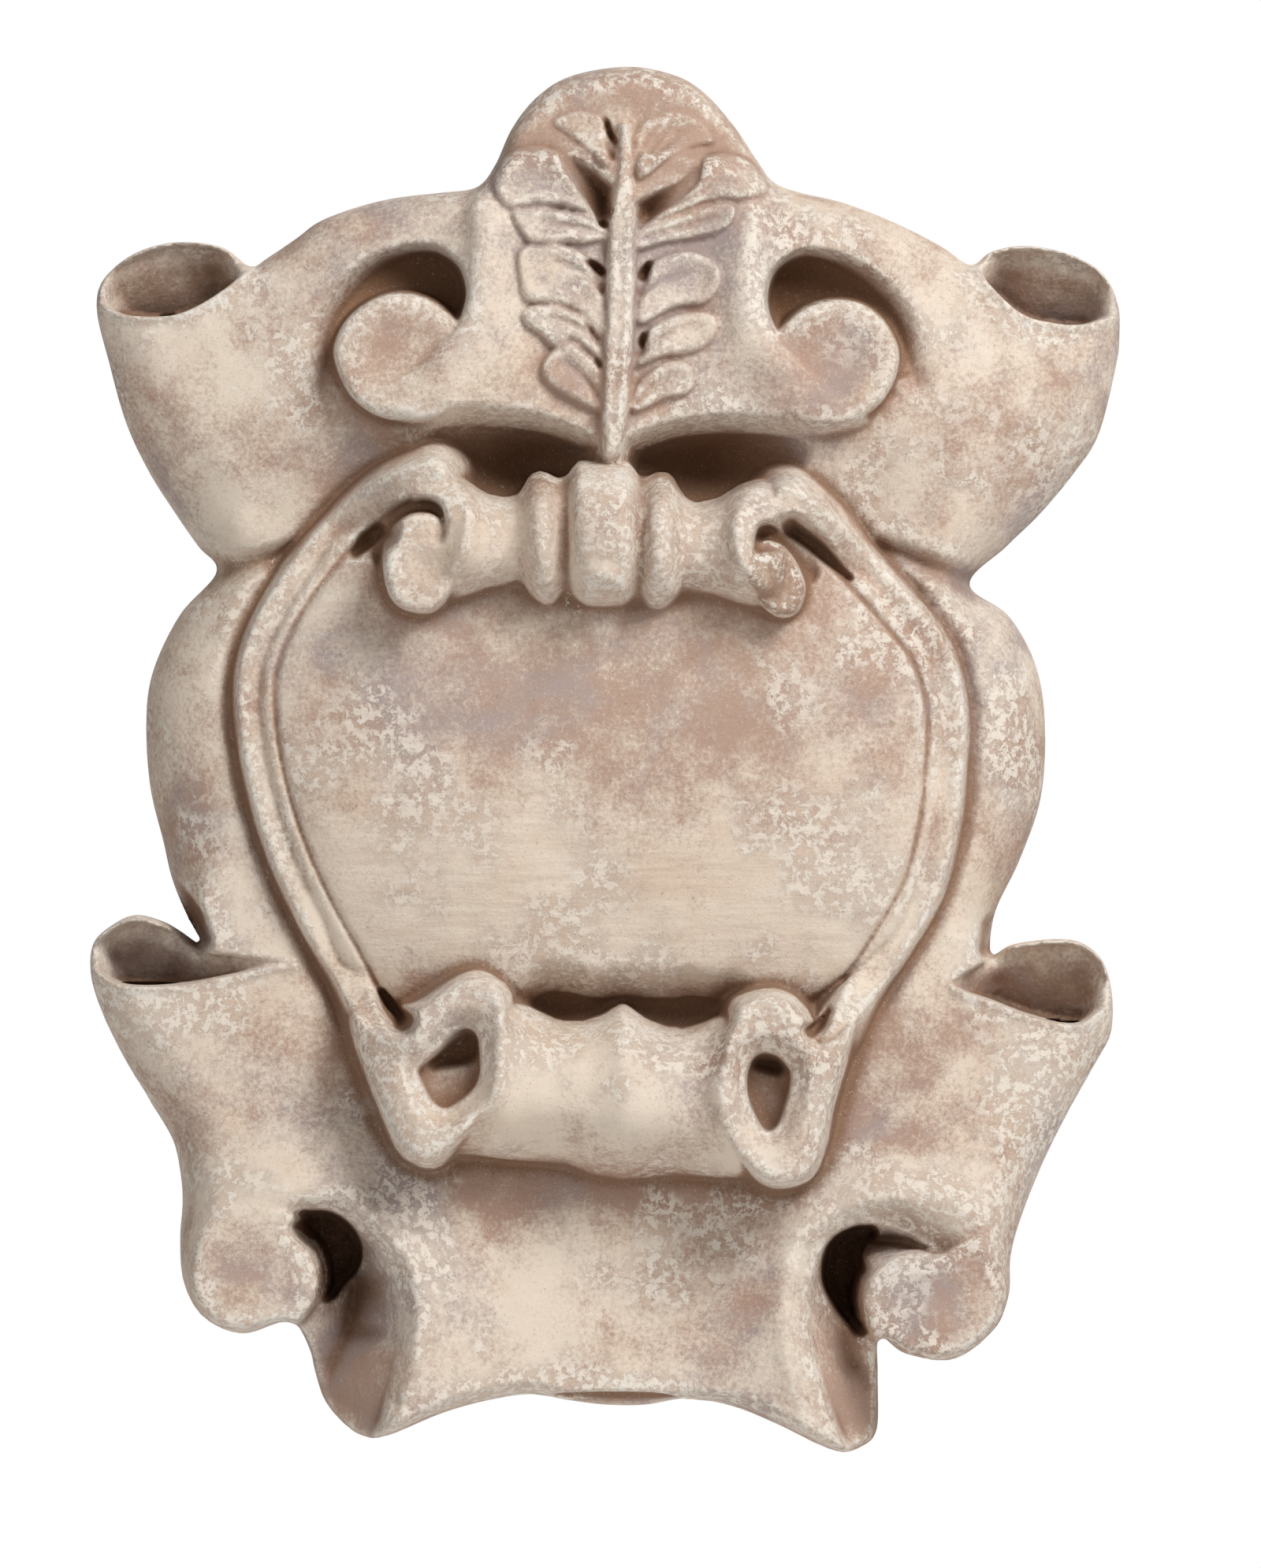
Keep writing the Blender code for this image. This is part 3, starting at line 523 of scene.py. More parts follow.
@dataclass(frozen=True)
class Pit:
    """A narrow dark pit between two parts of the ornament, with shade and dirt painted into it."""

    line: Line
    floor: float
    dish: float
    slope: float
    grime_and_shade: float
    haze: float

    def work(self, clay: Clay) -> None:
        """Digs the pit and paints shade and dirt into it.

        Args:
            clay: The sheet.
        """
        edge = clay.band(self.line)[0]
        clay.sink_to(edge, self.floor, self.dish, slope=self.slope)
        clay.soil_and_shade(edge, self.grime_and_shade, self.haze)


@dataclass(frozen=True)
class SideLobes:
    """Rounded lobes at both sides, which come out from behind the wings and the lower ears."""

    creases: tuple[Line, ...] = (
        ((262, 728, 16), (330, 712, 14), (400, 690, 8)), ((1240, 745, 16), (1190, 722, 14), (1120, 692, 8)),
    )
    gaps: tuple[Pit, Pit] = (
        Pit(((214, 1140, 5), (232, 1166, 10), (246, 1194, 6)), floor=62, dish=6, slope=7.0, grime_and_shade=0.9,
            haze=8),
        Pit(((1266, 1180, 4), (1262, 1206, 5)), floor=62, dish=6, slope=7.0, grime_and_shade=0.9, haze=8),
    )
    crease_depth: float = 26.0

    def work(self, clay: Clay) -> None:
        """Presses in the creases and the dark gaps behind the lower ears, and paints shade into both.

        Args:
            clay: The sheet.
        """
        for crease in self.creases:
            edge = clay.band(crease)[0]
            clay.height -= self.crease_depth * ease((edge + 10) / 26)
            # Painted shade along the crease
            clay.soil_and_shade(edge + 6, 0.3, 14)
        for gap in self.gaps:
            gap.work(clay)


@dataclass(frozen=True)
class Field:
    """Blank convex field inside the strap."""

    rim: float = 226.0
    rise: float = 62.0
    reach: float = 310.0

    def border(self, strap: "Strap") -> Line:
        """Line around the field, which runs under the strap's middle and under both spools."""
        border = strap.left[2:-2] + ((600, 1318), (770, 1322), (940, 1318)) + strap.right[-3:1:-1]
        return border + ((900, 618), (640, 610))

    def work(self, clay: Clay, strap: "Strap") -> None:
        """Swells the field.

        Args:
            clay: The sheet.
            strap: The strap, whose middle line bounds the field.
        """
        edge = clay.area(self.border(strap), margin=self.reach)
        clay.lay(edge, self.rim + self.rise * quarter(edge / self.reach), 12)
        clay.brushed = np.maximum(clay.brushed, ease(edge / 60))


@dataclass(frozen=True)
class Strap:
    """Low strap that frames the field, with a crease along its inner and a groove along its outer side."""

    left: Line = (
        (548, 604), (500, 624), (448, 660), (392, 722), (347, 792), (326, 852), (326, 920), (340, 1000),
        (366, 1082), (402, 1160), (446, 1240), (472, 1296), (484, 1330),
    )
    right: Line = (
        (1000, 634), (1046, 676), (1086, 718), (1136, 772), (1180, 830), (1200, 900), (1198, 980),
        (1190, 1050), (1168, 1130), (1124, 1206), (1084, 1266), (1054, 1316),
    )
    width: float = 0.0235
    groove_width: float = 0.011
    groove_depth: float = 15.0
    crease_depth: float = 10.0
    top: float = 230.0
    outer_rise: float = 8.0
    end_rise: float = 92.0

    def work(self, clay: Clay, unit: float, border: Line) -> None:
        """Lays the strap and presses its crease and groove.

        Args:
            clay: The sheet.
            unit: One drawn unit, in metres.
            border: Line around the field.
        """
        half = self.width / unit / 2
        groove = self.groove_width / unit / 2
        inner = clay.within(curve(border, closed=True))
        for line in (self.left, self.right):
            path = curve(line)
            far, where = clay.trace(path, 75.0)
            along = where / (len(path) - 1)
            ends = ease(along * 12) * ease((1 - along) * 8)
            outward = np.where(inner, -far, far)
            top = self.top + self.outer_rise * ease((outward + half) / (2 * half))
            top = top + self.end_rise * ease((0.18 - along) / 0.18)
            top = top + self.end_rise * ease((along - 0.86) / 0.14)
            trough = np.exp(-((outward - half - groove) / groove) ** 2)
            clay.height -= self.groove_depth * trough * ends
            width = half * (0.8 + 0.2 * ease(along * 8)) * (1 - 0.4 * ease((along - 0.84) / 0.16))
            clay.raise_to(np.where(far < FAR_OFF / 2, width - far, -FAR_OFF), top, 7, slope=4.0, blend=3)
            line_in = np.exp(-((outward + half + 2) / 3.6) ** 2)
            clay.height -= self.crease_depth * line_in * ends
            # Painted shade, with some dirt, along the groove and the inner crease
            clay.dirt_and_shade = np.maximum(clay.dirt_and_shade, (0.22 * trough + 0.5 * line_in) * ends)


@dataclass(frozen=True)
class Tongue:
    """Tongue that carries the leaf, and the shadowed recesses under its lower edge."""

    outline: Line = (
        (600, 250), (598, 300), (594, 340), (592, 386), (580, 416), (520, 470), (460, 496), (479, 524),
        (509, 533), (543, 534), (579, 531), (629, 532), (678, 539), (710, 549), (745, 568), (771, 590),
        (798, 570), (850, 549), (900, 541), (960, 541), (1010, 545), (1050, 547), (1096, 530), (1050, 490),
        (990, 430), (972, 386), (966, 340), (964, 300), (960, 250), (890, 200), (660, 200),
    )
    recesses: tuple[Line, ...] = (
        ((520, 560), (546, 545), (580, 540), (629, 541), (678, 548), (710, 559), (742, 578), (752, 600),
         (720, 640), (660, 660), (600, 650), (560, 606), (530, 590)),
        ((1040, 566), (1014, 556), (960, 551), (900, 551), (850, 559), (810, 576), (792, 600), (820, 640),
         (880, 660), (940, 646), (1000, 610), (1030, 592)),
    )
    deepest: tuple[Point, ...] = ((668, 590), (890, 592))
    top: float = 262.0
    rise: float = 28.0
    floor: float = 146.0
    brim: float = 228.0
    span: Point = (165.0, 84.0)

    def work(self, clay: Clay) -> None:
        """Lays the tongue and digs the recesses.

        Args:
            clay: The sheet.
        """
        edge = clay.area(self.outline)
        clay.lay(edge, self.top + self.rise * ease((clay.y - 250) / 250), 11)
        for recess, (x, y) in zip(self.recesses, self.deepest):
            edge = clay.area(recess)
            away = ease(np.hypot((clay.x - x) / self.span[0], (clay.y - y) / self.span[1]))
            floor = self.floor + (np.minimum(clay.height, self.brim) - self.floor) * away
            clay.sink_to(edge, floor - 12 * (1 - away), 22, slope=6.0 - 4.4 * away, blend=9)
            # Painted shade in the recess, darkest at its deepest place
            clay.soil_and_shade(edge - 4, 0.5 * (1 - away) + 0.06, 14)


@dataclass(frozen=True)
class Scroll:
    """A curl: the crest it winds out of, the hollow under it and the disc that the hollow winds around.

    The crest has a share of the swell as its third column. The hollow is deepest at one place and runs out
    with the distance from there, over the span. Its side is as wide as the wall there and softer elsewhere.
    """

    crest: Line
    hollow: Line
    disc: Line
    deepest: Point
    floor: float
    span: float
    top: float
    rise: float = 22.0
    reach: float = 34.0
    wall: float = 13.0
    soft_side: float = 0.0
    brim: float = 400.0
    grime_and_shade: float = 0.8
    face_grime_and_shade: float = 0.12
    tilt: Point = (0.0, 0.0)

    def work(self, clay: Clay) -> None:
        """Swells the crest, digs the hollow and sets up the disc.

        Args:
            clay: The sheet.
        """
        clay.swell(self.crest, self.rise, self.reach)
        x, y = self.deepest
        apart = np.hypot(clay.x - x, clay.y - y)
        away = ease(apart / self.span)
        edge = clay.area(self.hollow)
        run = self.wall + self.soft_side * ease(apart * 1.3 / self.span)
        floor = self.floor + (np.minimum(clay.height, self.brim) - self.floor) * away
        clay.height += (floor - clay.height) * ease((edge + 3) / run)
        # Painted shade in the hollow, fading away from its deepest place
        clay.soil_and_shade(edge - run * 0.6, self.grime_and_shade, run * 0.6)
        clay.dirt_and_shade = np.where(edge > -14, clay.dirt_and_shade * (1 - 0.5 * away), clay.dirt_and_shade)
        disc = clay.area(self.disc)
        level = self.top + self.tilt[0] * (clay.x - x) + self.tilt[1] * (clay.y - y)
        clay.raise_to(disc, level - 5 * ease((disc - 20) / 40), 11, slope=12.0, blend=4)
        # The disc's face is painted a little darker, as shade and grime
        clay.dirt_and_shade = np.where(disc > 0, self.face_grime_and_shade, clay.dirt_and_shade)


UPPER_SCROLLS = (
    Scroll(
        crest=((604, 256, 0.2), (614, 284, 0.8), (618, 334, 1), (612, 386, 1), (594, 424, 1),
               (560, 464, 0.8), (519, 504, 0.3)),
        hollow=((396, 508), (383, 478), (380, 448), (388, 411), (424, 360), (468, 326), (509, 312),
                (543, 311), (566, 320), (585, 339), (593, 365), (592, 386), (580, 416), (566, 420),
                (540, 420), (470, 440), (440, 480), (424, 506)),
        disc=((580, 417), (568, 400), (543, 383), (509, 375), (474, 383), (443, 407), (427, 438),
              (429, 466), (445, 501), (474, 525), (509, 534), (543, 534), (570, 520), (590, 470)),
        deepest=(566, 372), floor=160, span=300, top=290, soft_side=40.0, grime_and_shade=0.66),
    Scroll(
        crest=((962, 256, 0.2), (950, 284, 0.8), (942, 334, 1), (944, 386, 1), (958, 432, 1),
               (990, 474, 0.8), (1030, 506, 0.3)),
        hollow=((1188, 506), (1184, 452), (1170, 406), (1144, 368), (1104, 338), (1062, 320), (1022, 316),
                (994, 328), (976, 350), (970, 380), (976, 408), (990, 426), (1010, 424), (1050, 424),
                (1100, 440), (1130, 480), (1150, 510)),
        disc=((988, 426), (1004, 406), (1030, 390), (1062, 384), (1094, 390), (1120, 412), (1136, 444),
              (1134, 476), (1118, 508), (1090, 530), (1056, 542), (1020, 538), (990, 520), (974, 470)),
        deepest=(996, 384), floor=160, span=300, top=290, soft_side=40.0, grime_and_shade=0.66),
)


def profile(x: np.ndarray, line: Line) -> np.ndarray:
    """Follows a line across the drawing, with its corners softened.

    Args:
        x: Drawn units to the right, where the line is read.
        line: Rows of x and value.

    Returns:
        The values.
    """
    places, values = np.transpose(line)
    shifts = (-5, -2, 2, 5)
    return sum(np.interp(x + shift, places, values) for shift in shifts) / len(shifts)


@dataclass(frozen=True)
class Roll:
    """A roll across the panel, turned between its upper and its lower line.

    The front line gives the height of its front along it. Its underside may be softer in the middle, which
    goes from a left to a right end and fades over a run.
    """

    top_line: Line
    bottom_line: Line
    front_line: Line
    back: float
    left: float
    right: float
    taper: float
    squareness: float
    fullness: float = 0.55
    softer: float = 0.0
    middle: Point = (640.0, 910.0, 70.0)

    def turn(self, clay: Clay) -> None:
        """Lays the roll on the clay.

        Args:
            clay: The sheet.
        """
        x = clay.x
        top = profile(x, self.top_line)
        bottom = profile(x, self.bottom_line)
        across = np.clip((clay.y - (top + bottom) / 2) / ((bottom - top) / 2), -1, 1)
        start, end, run = self.middle
        middle_part = ease((x - start) / run) * ease((end - x) / run)
        fullness = np.where(across > 0, self.fullness + self.softer * middle_part, self.fullness)
        rounding = (1 - np.abs(across) ** self.squareness) ** fullness
        roll = self.back + (profile(x, self.front_line) - self.back) * rounding
        roll *= ease((x - self.left) / self.taper) * ease((self.right - x) / self.taper)
        covered = (clay.y > top) & (clay.y < bottom)
        clay.height = np.where(covered, np.maximum(clay.height, roll), clay.height)


@dataclass(frozen=True)
class UpperSpool:
    """Upper spool: three ribs between scrolled ends, with the middle rib's tail running into the field."""

    roll: Roll = Roll(
        top_line=((532, 600), (552, 592), (576, 598), (596, 612), (616, 626), (640, 631), (660, 626),
                  (668, 606), (680, 597), (694, 599), (704, 606), (714, 606), (724, 598), (730, 584),
                  (765, 581), (801, 585), (807, 602), (816, 606), (838, 597), (852, 602), (866, 628),
                  (880, 638), (910, 632), (940, 614), (965, 606), (990, 610)),
        bottom_line=((500, 772), (548, 776), (580, 771), (620, 757), (660, 751), (672, 768), (690, 779),
                     (704, 778), (716, 768), (728, 772), (744, 780), (765, 782), (792, 780), (806, 772),
                     (820, 784), (842, 785), (856, 774), (868, 762), (900, 766), (950, 780), (1000, 790)),
        front_line=((480, 345), (540, 362), (576, 376), (596, 380), (620, 356), (645, 342), (660, 344),
                    (674, 374), (682, 386), (692, 386), (702, 374), (710, 348), (722, 348), (728, 386),
                    (740, 397), (765, 400), (792, 396), (802, 386), (808, 350), (815, 348), (822, 374),
                    (832, 386), (844, 384), (854, 370), (862, 342), (890, 342), (915, 356), (935, 378),
                    (960, 372), (1020, 348)),
        back=205.0, left=500.0, right=1020.0, taper=30.0, squareness=2.6)
    ends: tuple[Scroll, Scroll] = (
        Scroll(
            crest=((560, 602, 0.3), (582, 614, 1), (596, 652, 1), (594, 684, 1), (580, 720, 1),
                   (556, 748, 0.8), (532, 766, 0.3)),
            hollow=((462, 690), (466, 674), (488, 652), (512, 638), (540, 632), (560, 640), (567, 656),
                    (568, 676), (562, 692), (545, 690), (520, 696), (500, 712), (486, 722), (472, 712)),
            disc=((570, 700), (567, 678), (557, 660), (540, 654), (520, 658), (502, 674), (492, 699),
                  (491, 728), (499, 757), (516, 772), (548, 775), (572, 750), (580, 716)),
            deepest=(556, 652), floor=292, span=110, top=352, rise=12, reach=12, brim=232, grime_and_shade=0.5,
            tilt=(0.0, 0.12)),
        Scroll(
            crest=((976, 616, 0.3), (950, 626, 1), (934, 656, 1), (933, 696, 1), (950, 730, 1),
                   (974, 756, 0.8), (1002, 778, 0.3)),
            hollow=((1040, 722), (1022, 694), (1000, 674), (978, 664), (960, 668), (953, 686), (956, 706),
                    (970, 704), (992, 704), (1010, 716), (1024, 740), (1034, 740)),
            disc=((950, 708), (956, 694), (970, 688), (988, 693), (1003, 710), (1014, 732), (1018, 752),
                  (1008, 777), (986, 782), (962, 764), (946, 736)),
            # This disc is painted darker because it lies in shade
            deepest=(966, 680), floor=286, span=110, top=326, rise=16, reach=12, brim=232, grime_and_shade=0.6,
            face_grime_and_shade=0.44, tilt=(0.0, 0.12)),
    )
    tail: Line = ((765, 756, 34), (765, 800, 20), (762, 864, 5))
    tail_rise: float = 13.0
    pits: tuple[Pit, Pit] = (
        Pit(((450, 702, 3), (464, 688, 8), (480, 674, 6)), floor=214, dish=6, slope=5.0, grime_and_shade=0.8, haze=9),
        Pit(((1004, 674, 3), (1036, 696, 6), (1076, 734, 4)), floor=224, dish=6, slope=5.0, grime_and_shade=0.8,
            haze=9),
    )
    crease: Line = ((574, 610), (584, 630), (589, 664))

    def work(self, clay: Clay) -> None:
        """Turns the roll, lays its tail, curls its ends and digs the pits beside them.

        Args:
            clay: The sheet.
        """
        self.roll.turn(clay)
        edge, along = clay.band(self.tail)
        clay.height += self.tail_rise * ease((edge + 8) / 24) * (1 - along)
        for part in self.ends + self.pits:
            part.work(clay)
        clay.incise(self.crease, 3.0, 2.2)


@dataclass(frozen=True)
class SpoolEnd:
    """Open end of the lower spool: its broad face, its crest and the hole that the face runs down into."""

    face: Line
    crest: Line
    hole: Line
    ledge: Line
    top: float
    floor: float
    funnel: float = 24.0

    def work(self, clay: Clay) -> None:
        """Builds the face, swells its crest and opens the hole.

        Args:
            clay: The sheet.
        """
        middle = self.hole[0][0]
        level = self.top - 0.62 * np.maximum(np.abs(clay.x - middle) - 60, 0)
        clay.raise_to(clay.area(self.face), level, 14, slope=8.0, blend=5)
        clay.swell(self.crest, 14, 14)
        edge = clay.area(self.hole)
        clay.height -= self.funnel * ease((edge + 32) / 32)
        clay.sink_to(edge, self.floor, 16, slope=9.0, blend=5)
        # Painted shade in the hole
        clay.soil_and_shade(edge, 0.38, 7)
        ledge = clay.band(self.ledge)[0]
        clay.height -= 34 * ease((ledge + 8) / 16) * ease((edge + 2) / 8)
        # Painted shade, darker, under the ledge
        clay.soil_and_shade(np.minimum(ledge, edge), 0.6, 6)


@dataclass(frozen=True)
class LowerSpool:
    """Lower spool: a plain roll with a soft ridge down its middle, and shadowed hollows above it."""

    above: Line = ((664, 1286, 8), (700, 1280, 22), (752, 1284, 18), (792, 1272, 8), (840, 1286, 20),
                   (884, 1288, 24), (924, 1276, 8))
    roll: Roll = Roll(
        top_line=((500, 1302), (511, 1290), (535, 1278), (564, 1258), (586, 1245), (605, 1239), (620, 1245),
                  (635, 1255), (650, 1264), (680, 1281), (708, 1294), (740, 1295), (765, 1287), (780, 1277),
                  (790, 1272), (800, 1278), (820, 1293), (848, 1303), (870, 1304), (890, 1298), (919, 1285),
                  (953, 1267), (977, 1264), (1006, 1276), (1028, 1322)),
        bottom_line=((500, 1440), (541, 1471), (600, 1468), (720, 1482), (750, 1494), (788, 1500),
                     (830, 1497), (860, 1494), (938, 1497), (999, 1493), (1030, 1460)),
        front_line=((480, 340), (540, 368), (600, 384), (634, 388), (660, 370), (700, 362), (750, 366),
                    (791, 380), (830, 366), (880, 362), (905, 372), (930, 388), (975, 378), (1030, 340)),
        back=215.0, left=478.0, right=1056.0, taper=40.0, squareness=2.2, softer=0.3)
    ends: tuple[SpoolEnd, SpoolEnd] = (
        SpoolEnd(
            face=((452, 1286), (478, 1300), (500, 1302), (513, 1287), (535, 1277), (564, 1257), (586, 1244),
                  (605, 1239), (622, 1245), (637, 1260), (641, 1291), (638, 1334), (632, 1364), (619, 1397),
                  (598, 1426), (572, 1452), (549, 1469), (523, 1463), (509, 1450), (493, 1419), (470, 1362),
                  (452, 1312)),
            crest=((622, 1250, 0.4), (637, 1270, 1), (641, 1300, 1), (637, 1340, 1), (628, 1374, 1),
                   (612, 1404, 1), (590, 1430, 0.9), (560, 1452, 0.5)),
            hole=((592, 1303), (605, 1311), (609, 1334), (608, 1362), (598, 1382), (575, 1400), (562, 1403),
                  (549, 1393), (538, 1373), (532, 1356), (544, 1344), (561, 1328), (576, 1311)),
            ledge=((552, 1348, 6), (580, 1336, 14), (600, 1326, 16)), top=380, floor=318),
        SpoolEnd(
            face=((932, 1296), (938, 1276), (962, 1264), (985, 1264), (1006, 1276), (1024, 1302),
                  (1034, 1326), (1056, 1316), (1078, 1300), (1068, 1340), (1050, 1400), (1039, 1450),
                  (1020, 1486), (980, 1495), (945, 1470), (924, 1440), (914, 1390), (918, 1330)),
            crest=((950, 1272, 0.4), (934, 1284, 1), (921, 1320, 1), (912, 1372, 1), (917, 1422, 1),
                   (936, 1460, 0.9), (966, 1486, 0.5)),
            hole=((966, 1335), (986, 1340), (1000, 1360), (996, 1392), (984, 1424), (970, 1430),
                  (954, 1404), (947, 1374), (952, 1346)),
            ledge=((960, 1346, 6), (984, 1352, 8)), top=378, floor=312),
    )
    above_floor: float = 176.0
    crease: Line = ((1000, 1356), (1014, 1342), (1026, 1318))
    pits: tuple[Pit, Pit] = (
        Pit(((484, 1258, 2), (496, 1276, 5), (508, 1291, 2)), floor=206, dish=5, slope=7.0, grime_and_shade=0.42,
            haze=7),
        Pit(((1030, 1306, 1), (1038, 1298, 3), (1050, 1280, 1)), floor=250, dish=5, slope=7.0, grime_and_shade=0.42,
            haze=7),
    )

    def work(self, clay: Clay) -> None:
        """Digs the hollows above, turns the roll, opens its ends and digs the pits by the strap.

        Args:
            clay: The sheet.
        """
        edge = clay.band(self.above)[0]
        clay.sink_to(edge, self.above_floor, 30, slope=1.9, blend=22)
        # Painted shade in the hollows above the roll
        clay.soil_and_shade(edge - 6, 0.5, 24)
        self.roll.turn(clay)
        for end in self.ends:
            end.work(clay)
        clay.incise(self.crease, 12, 4)
        for pit in self.pits:
            pit.work(clay)


@dataclass(frozen=True)
class LowerVolute:
    """A lower curl: its crest, the flap that hangs back inside it, the cave above the flap and the disc.

    The dimple is x, y and depth. The funnel is how wide the flap's edge runs in.
    """

    crest: Line
    flap: Line
    cave: Line
    disc: Line
    dimple: Point
    funnel: float
    top: float = 284.0
    flap_top: float = 256.0
    flap_floor: float = 92.0
    cave_floor: float = 76.0

    def work(self, clay: Clay) -> None:
        """Swells the crest, digs out the flap and the cave, then sets up the disc.

        Args:
            clay: The sheet.
        """
        clay.swell(self.crest, 20, 74)
        clay.swell(self.crest, 16, 26)
        opening = clay.area(self.flap, margin=130)
        clay.height -= 24 * ease((opening + self.funnel) / self.funnel)
        low = ease((clay.y - 1580) / 150)
        fall = (2.9 - 1.5 * low + 1.6 * ease((1604 - clay.y) / 30)) * np.maximum(opening, 0)
        target = np.maximum(self.flap_top - fall - 26 * ease((clay.y - 1740) / 90), self.flap_floor)
        clay.lay(opening, target, 3 + 4 * low)
        # Painted shade on the flap, lighter lower down
        clay.soil_and_shade(opening - 8, 0.26 - 0.12 * low, 10)
        edge = np.minimum(clay.band(self.cave)[0], opening - 1)
        clay.sink_to(edge, self.cave_floor, 16, slope=14.0)
        # Painted shade in the cave, near black, and a wider brown shade around it
        clay.soil_and_shade(edge, 0.82, 8)
        clay.soil_and_shade(np.minimum(edge + 26, opening - 3), 0.42, 20)
        x, y, depth = self.dimple
        clay.height -= depth * np.exp(-(((clay.x - x) / 26) ** 2 + ((clay.y - y) / 14) ** 2))
        disc = clay.area(self.disc)
        clay.raise_to(disc, self.top + 3 - 6 * ease((disc - 16) / 50), 11, slope=12.0, blend=6)
        clay.dirt_and_shade = np.where(disc > 0, 0.0, clay.dirt_and_shade)


LOWER_VOLUTES = (
    LowerVolute(
        crest=((243, 1557, 0.2), (265, 1535, 0.6), (298, 1517, 0.8), (339, 1506, 1), (376, 1506, 1),
               (416, 1513, 1), (449, 1528, 1), (482, 1554, 1), (508, 1583, 1), (523, 1612, 1),
               (532, 1656, 1), (530, 1701, 0.8), (523, 1730, 0.6), (506, 1780, 0.3)),
        flap=((374, 1562), (381, 1545), (409, 1540), (438, 1548), (464, 1565), (483, 1587), (501, 1616),
              (508, 1650), (508, 1690), (502, 1734), (490, 1778), (478, 1812), (440, 1850), (340, 1810),
              (340, 1700), (380, 1650), (392, 1600)),
        cave=((382, 1550, 8), (412, 1566, 22), (430, 1596, 24), (412, 1636, 14)),
        disc=((372, 1541), (367, 1556), (379, 1576), (394, 1590), (403, 1616), (401, 1642), (390, 1662),
              (370, 1681), (340, 1692), (300, 1696), (258, 1682), (232, 1645), (226, 1600), (240, 1560),
              (290, 1530), (340, 1524)),
        dimple=(468, 1692, 14), funnel=26.0),
    LowerVolute(
        crest=((1276, 1598, 0.2), (1263, 1568, 0.6), (1236, 1541, 0.9), (1202, 1519, 1), (1152, 1511, 1),
               (1111, 1517, 1), (1067, 1536, 1), (1034, 1557, 1), (1012, 1590, 1), (1004, 1640, 0.9),
               (1006, 1690, 0.8), (1020, 1750, 0.5), (1046, 1806, 0.2)),
        flap=((1189, 1589), (1175, 1577), (1155, 1564), (1135, 1556), (1111, 1551), (1081, 1556),
              (1054, 1571), (1037, 1588), (1028, 1616), (1024, 1650), (1026, 1700), (1044, 1760),
              (1068, 1826), (1100, 1866), (1160, 1830), (1140, 1715), (1118, 1700), (1098, 1650),
              (1110, 1610), (1140, 1594)),
        cave=((1104, 1568, 6), (1090, 1574, 12), (1074, 1592, 20), (1070, 1624, 22), (1078, 1656, 16),
              (1092, 1680, 8)),
        disc=((1196, 1590), (1162, 1588), (1135, 1594), (1115, 1608), (1101, 1625), (1095, 1646),
              (1098, 1670), (1110, 1697), (1124, 1711), (1150, 1722), (1190, 1729), (1232, 1718),
              (1266, 1696), (1286, 1660), (1290, 1604), (1262, 1570), (1232, 1566)),
        dimple=(1078, 1730, 6), funnel=40.0),
)


@dataclass(frozen=True)
class Apron:
    """Apron under the lower spool, its foot and its two curls."""

    bulge: Line = ((700, 1772), (730, 1767), (770, 1766), (820, 1767), (856, 1773), (890, 1800),
                   (770, 1830), (660, 1800))
    volutes: tuple[LowerVolute, LowerVolute] = LOWER_VOLUTES
    dents: tuple[Line, Line] = (((704, 1768, 1), (726, 1767, 2)), ((808, 1767, 1), (830, 1768, 2)))
    foot_height: float = 118.0
    dent_depth: float = 5.0

    def work(self, clay: Clay) -> None:
        """Sets the foot back, works both curls and presses in the dents.

        Args:
            clay: The sheet.
        """
        clay.lay(clay.area(self.bulge), self.foot_height, 3)
        for volute in self.volutes:
            volute.work(clay)
        for dent in self.dents:
            edge = clay.band(dent)[0]
            clay.height -= self.dent_depth * ease((edge + 3) / 6)
            # Painted shade in the dents
            clay.soil_and_shade(edge, 0.34, 5)


@dataclass(frozen=True)
class Ear:
    """A rolled ear: its mouth between the back rim and the front lip, and the cup below it.

    The cup is x and y of the middle of its mouth, its half width, how far it leans to the right as it goes
    down, and the slope of its mouth. It goes from its floor to its front, in relief units, and narrows.
    """

    rim: Line
    lip: Line
    cup: Point
    rim_height: float = 128.0
    lip_bead: float = 8.0
    cup_floor: float = 66.0
    cup_front: float = 200.0
    narrowing: float = 0.58
    cup_sides: int = 48
    cup_rings: int = 9

    def work(self, clay: Clay, wall: float) -> None:
        """Opens the mouth and beads the lip.

        Args:
            clay: The sheet.
            wall: Thickness of the clay, in drawn units.
        """
        mouth = clay.area(self.rim + self.lip[::-1])
        from_lip = -clay.band(tuple((x, y, 0.0) for x, y in self.lip))[0]
        from_rim = -clay.band(tuple((x, y, 0.0) for x, y in self.rim))[0]
        share = from_rim / np.maximum(from_rim + from_lip, 1)
        deep = ease((from_rim + from_lip) / 54) * ease((mouth + 2.4) / 4.8)
        clay.height += (self.rim_height - 16 * ease(share * 1.6) - 40 * share ** 3 - clay.height) * deep
        clay.height += np.where(mouth > 0, 0, self.lip_bead * ease(1 - from_lip / (wall * 0.4)))
        # Painted shade inside the mouth, darkest towards the lip
        clay.soil_and_shade(np.minimum(mouth, 26) - 20 + 12 * share, 0.42, 16)
        clay.shelter = np.maximum(clay.shelter, ease((mouth + 4) / 8))


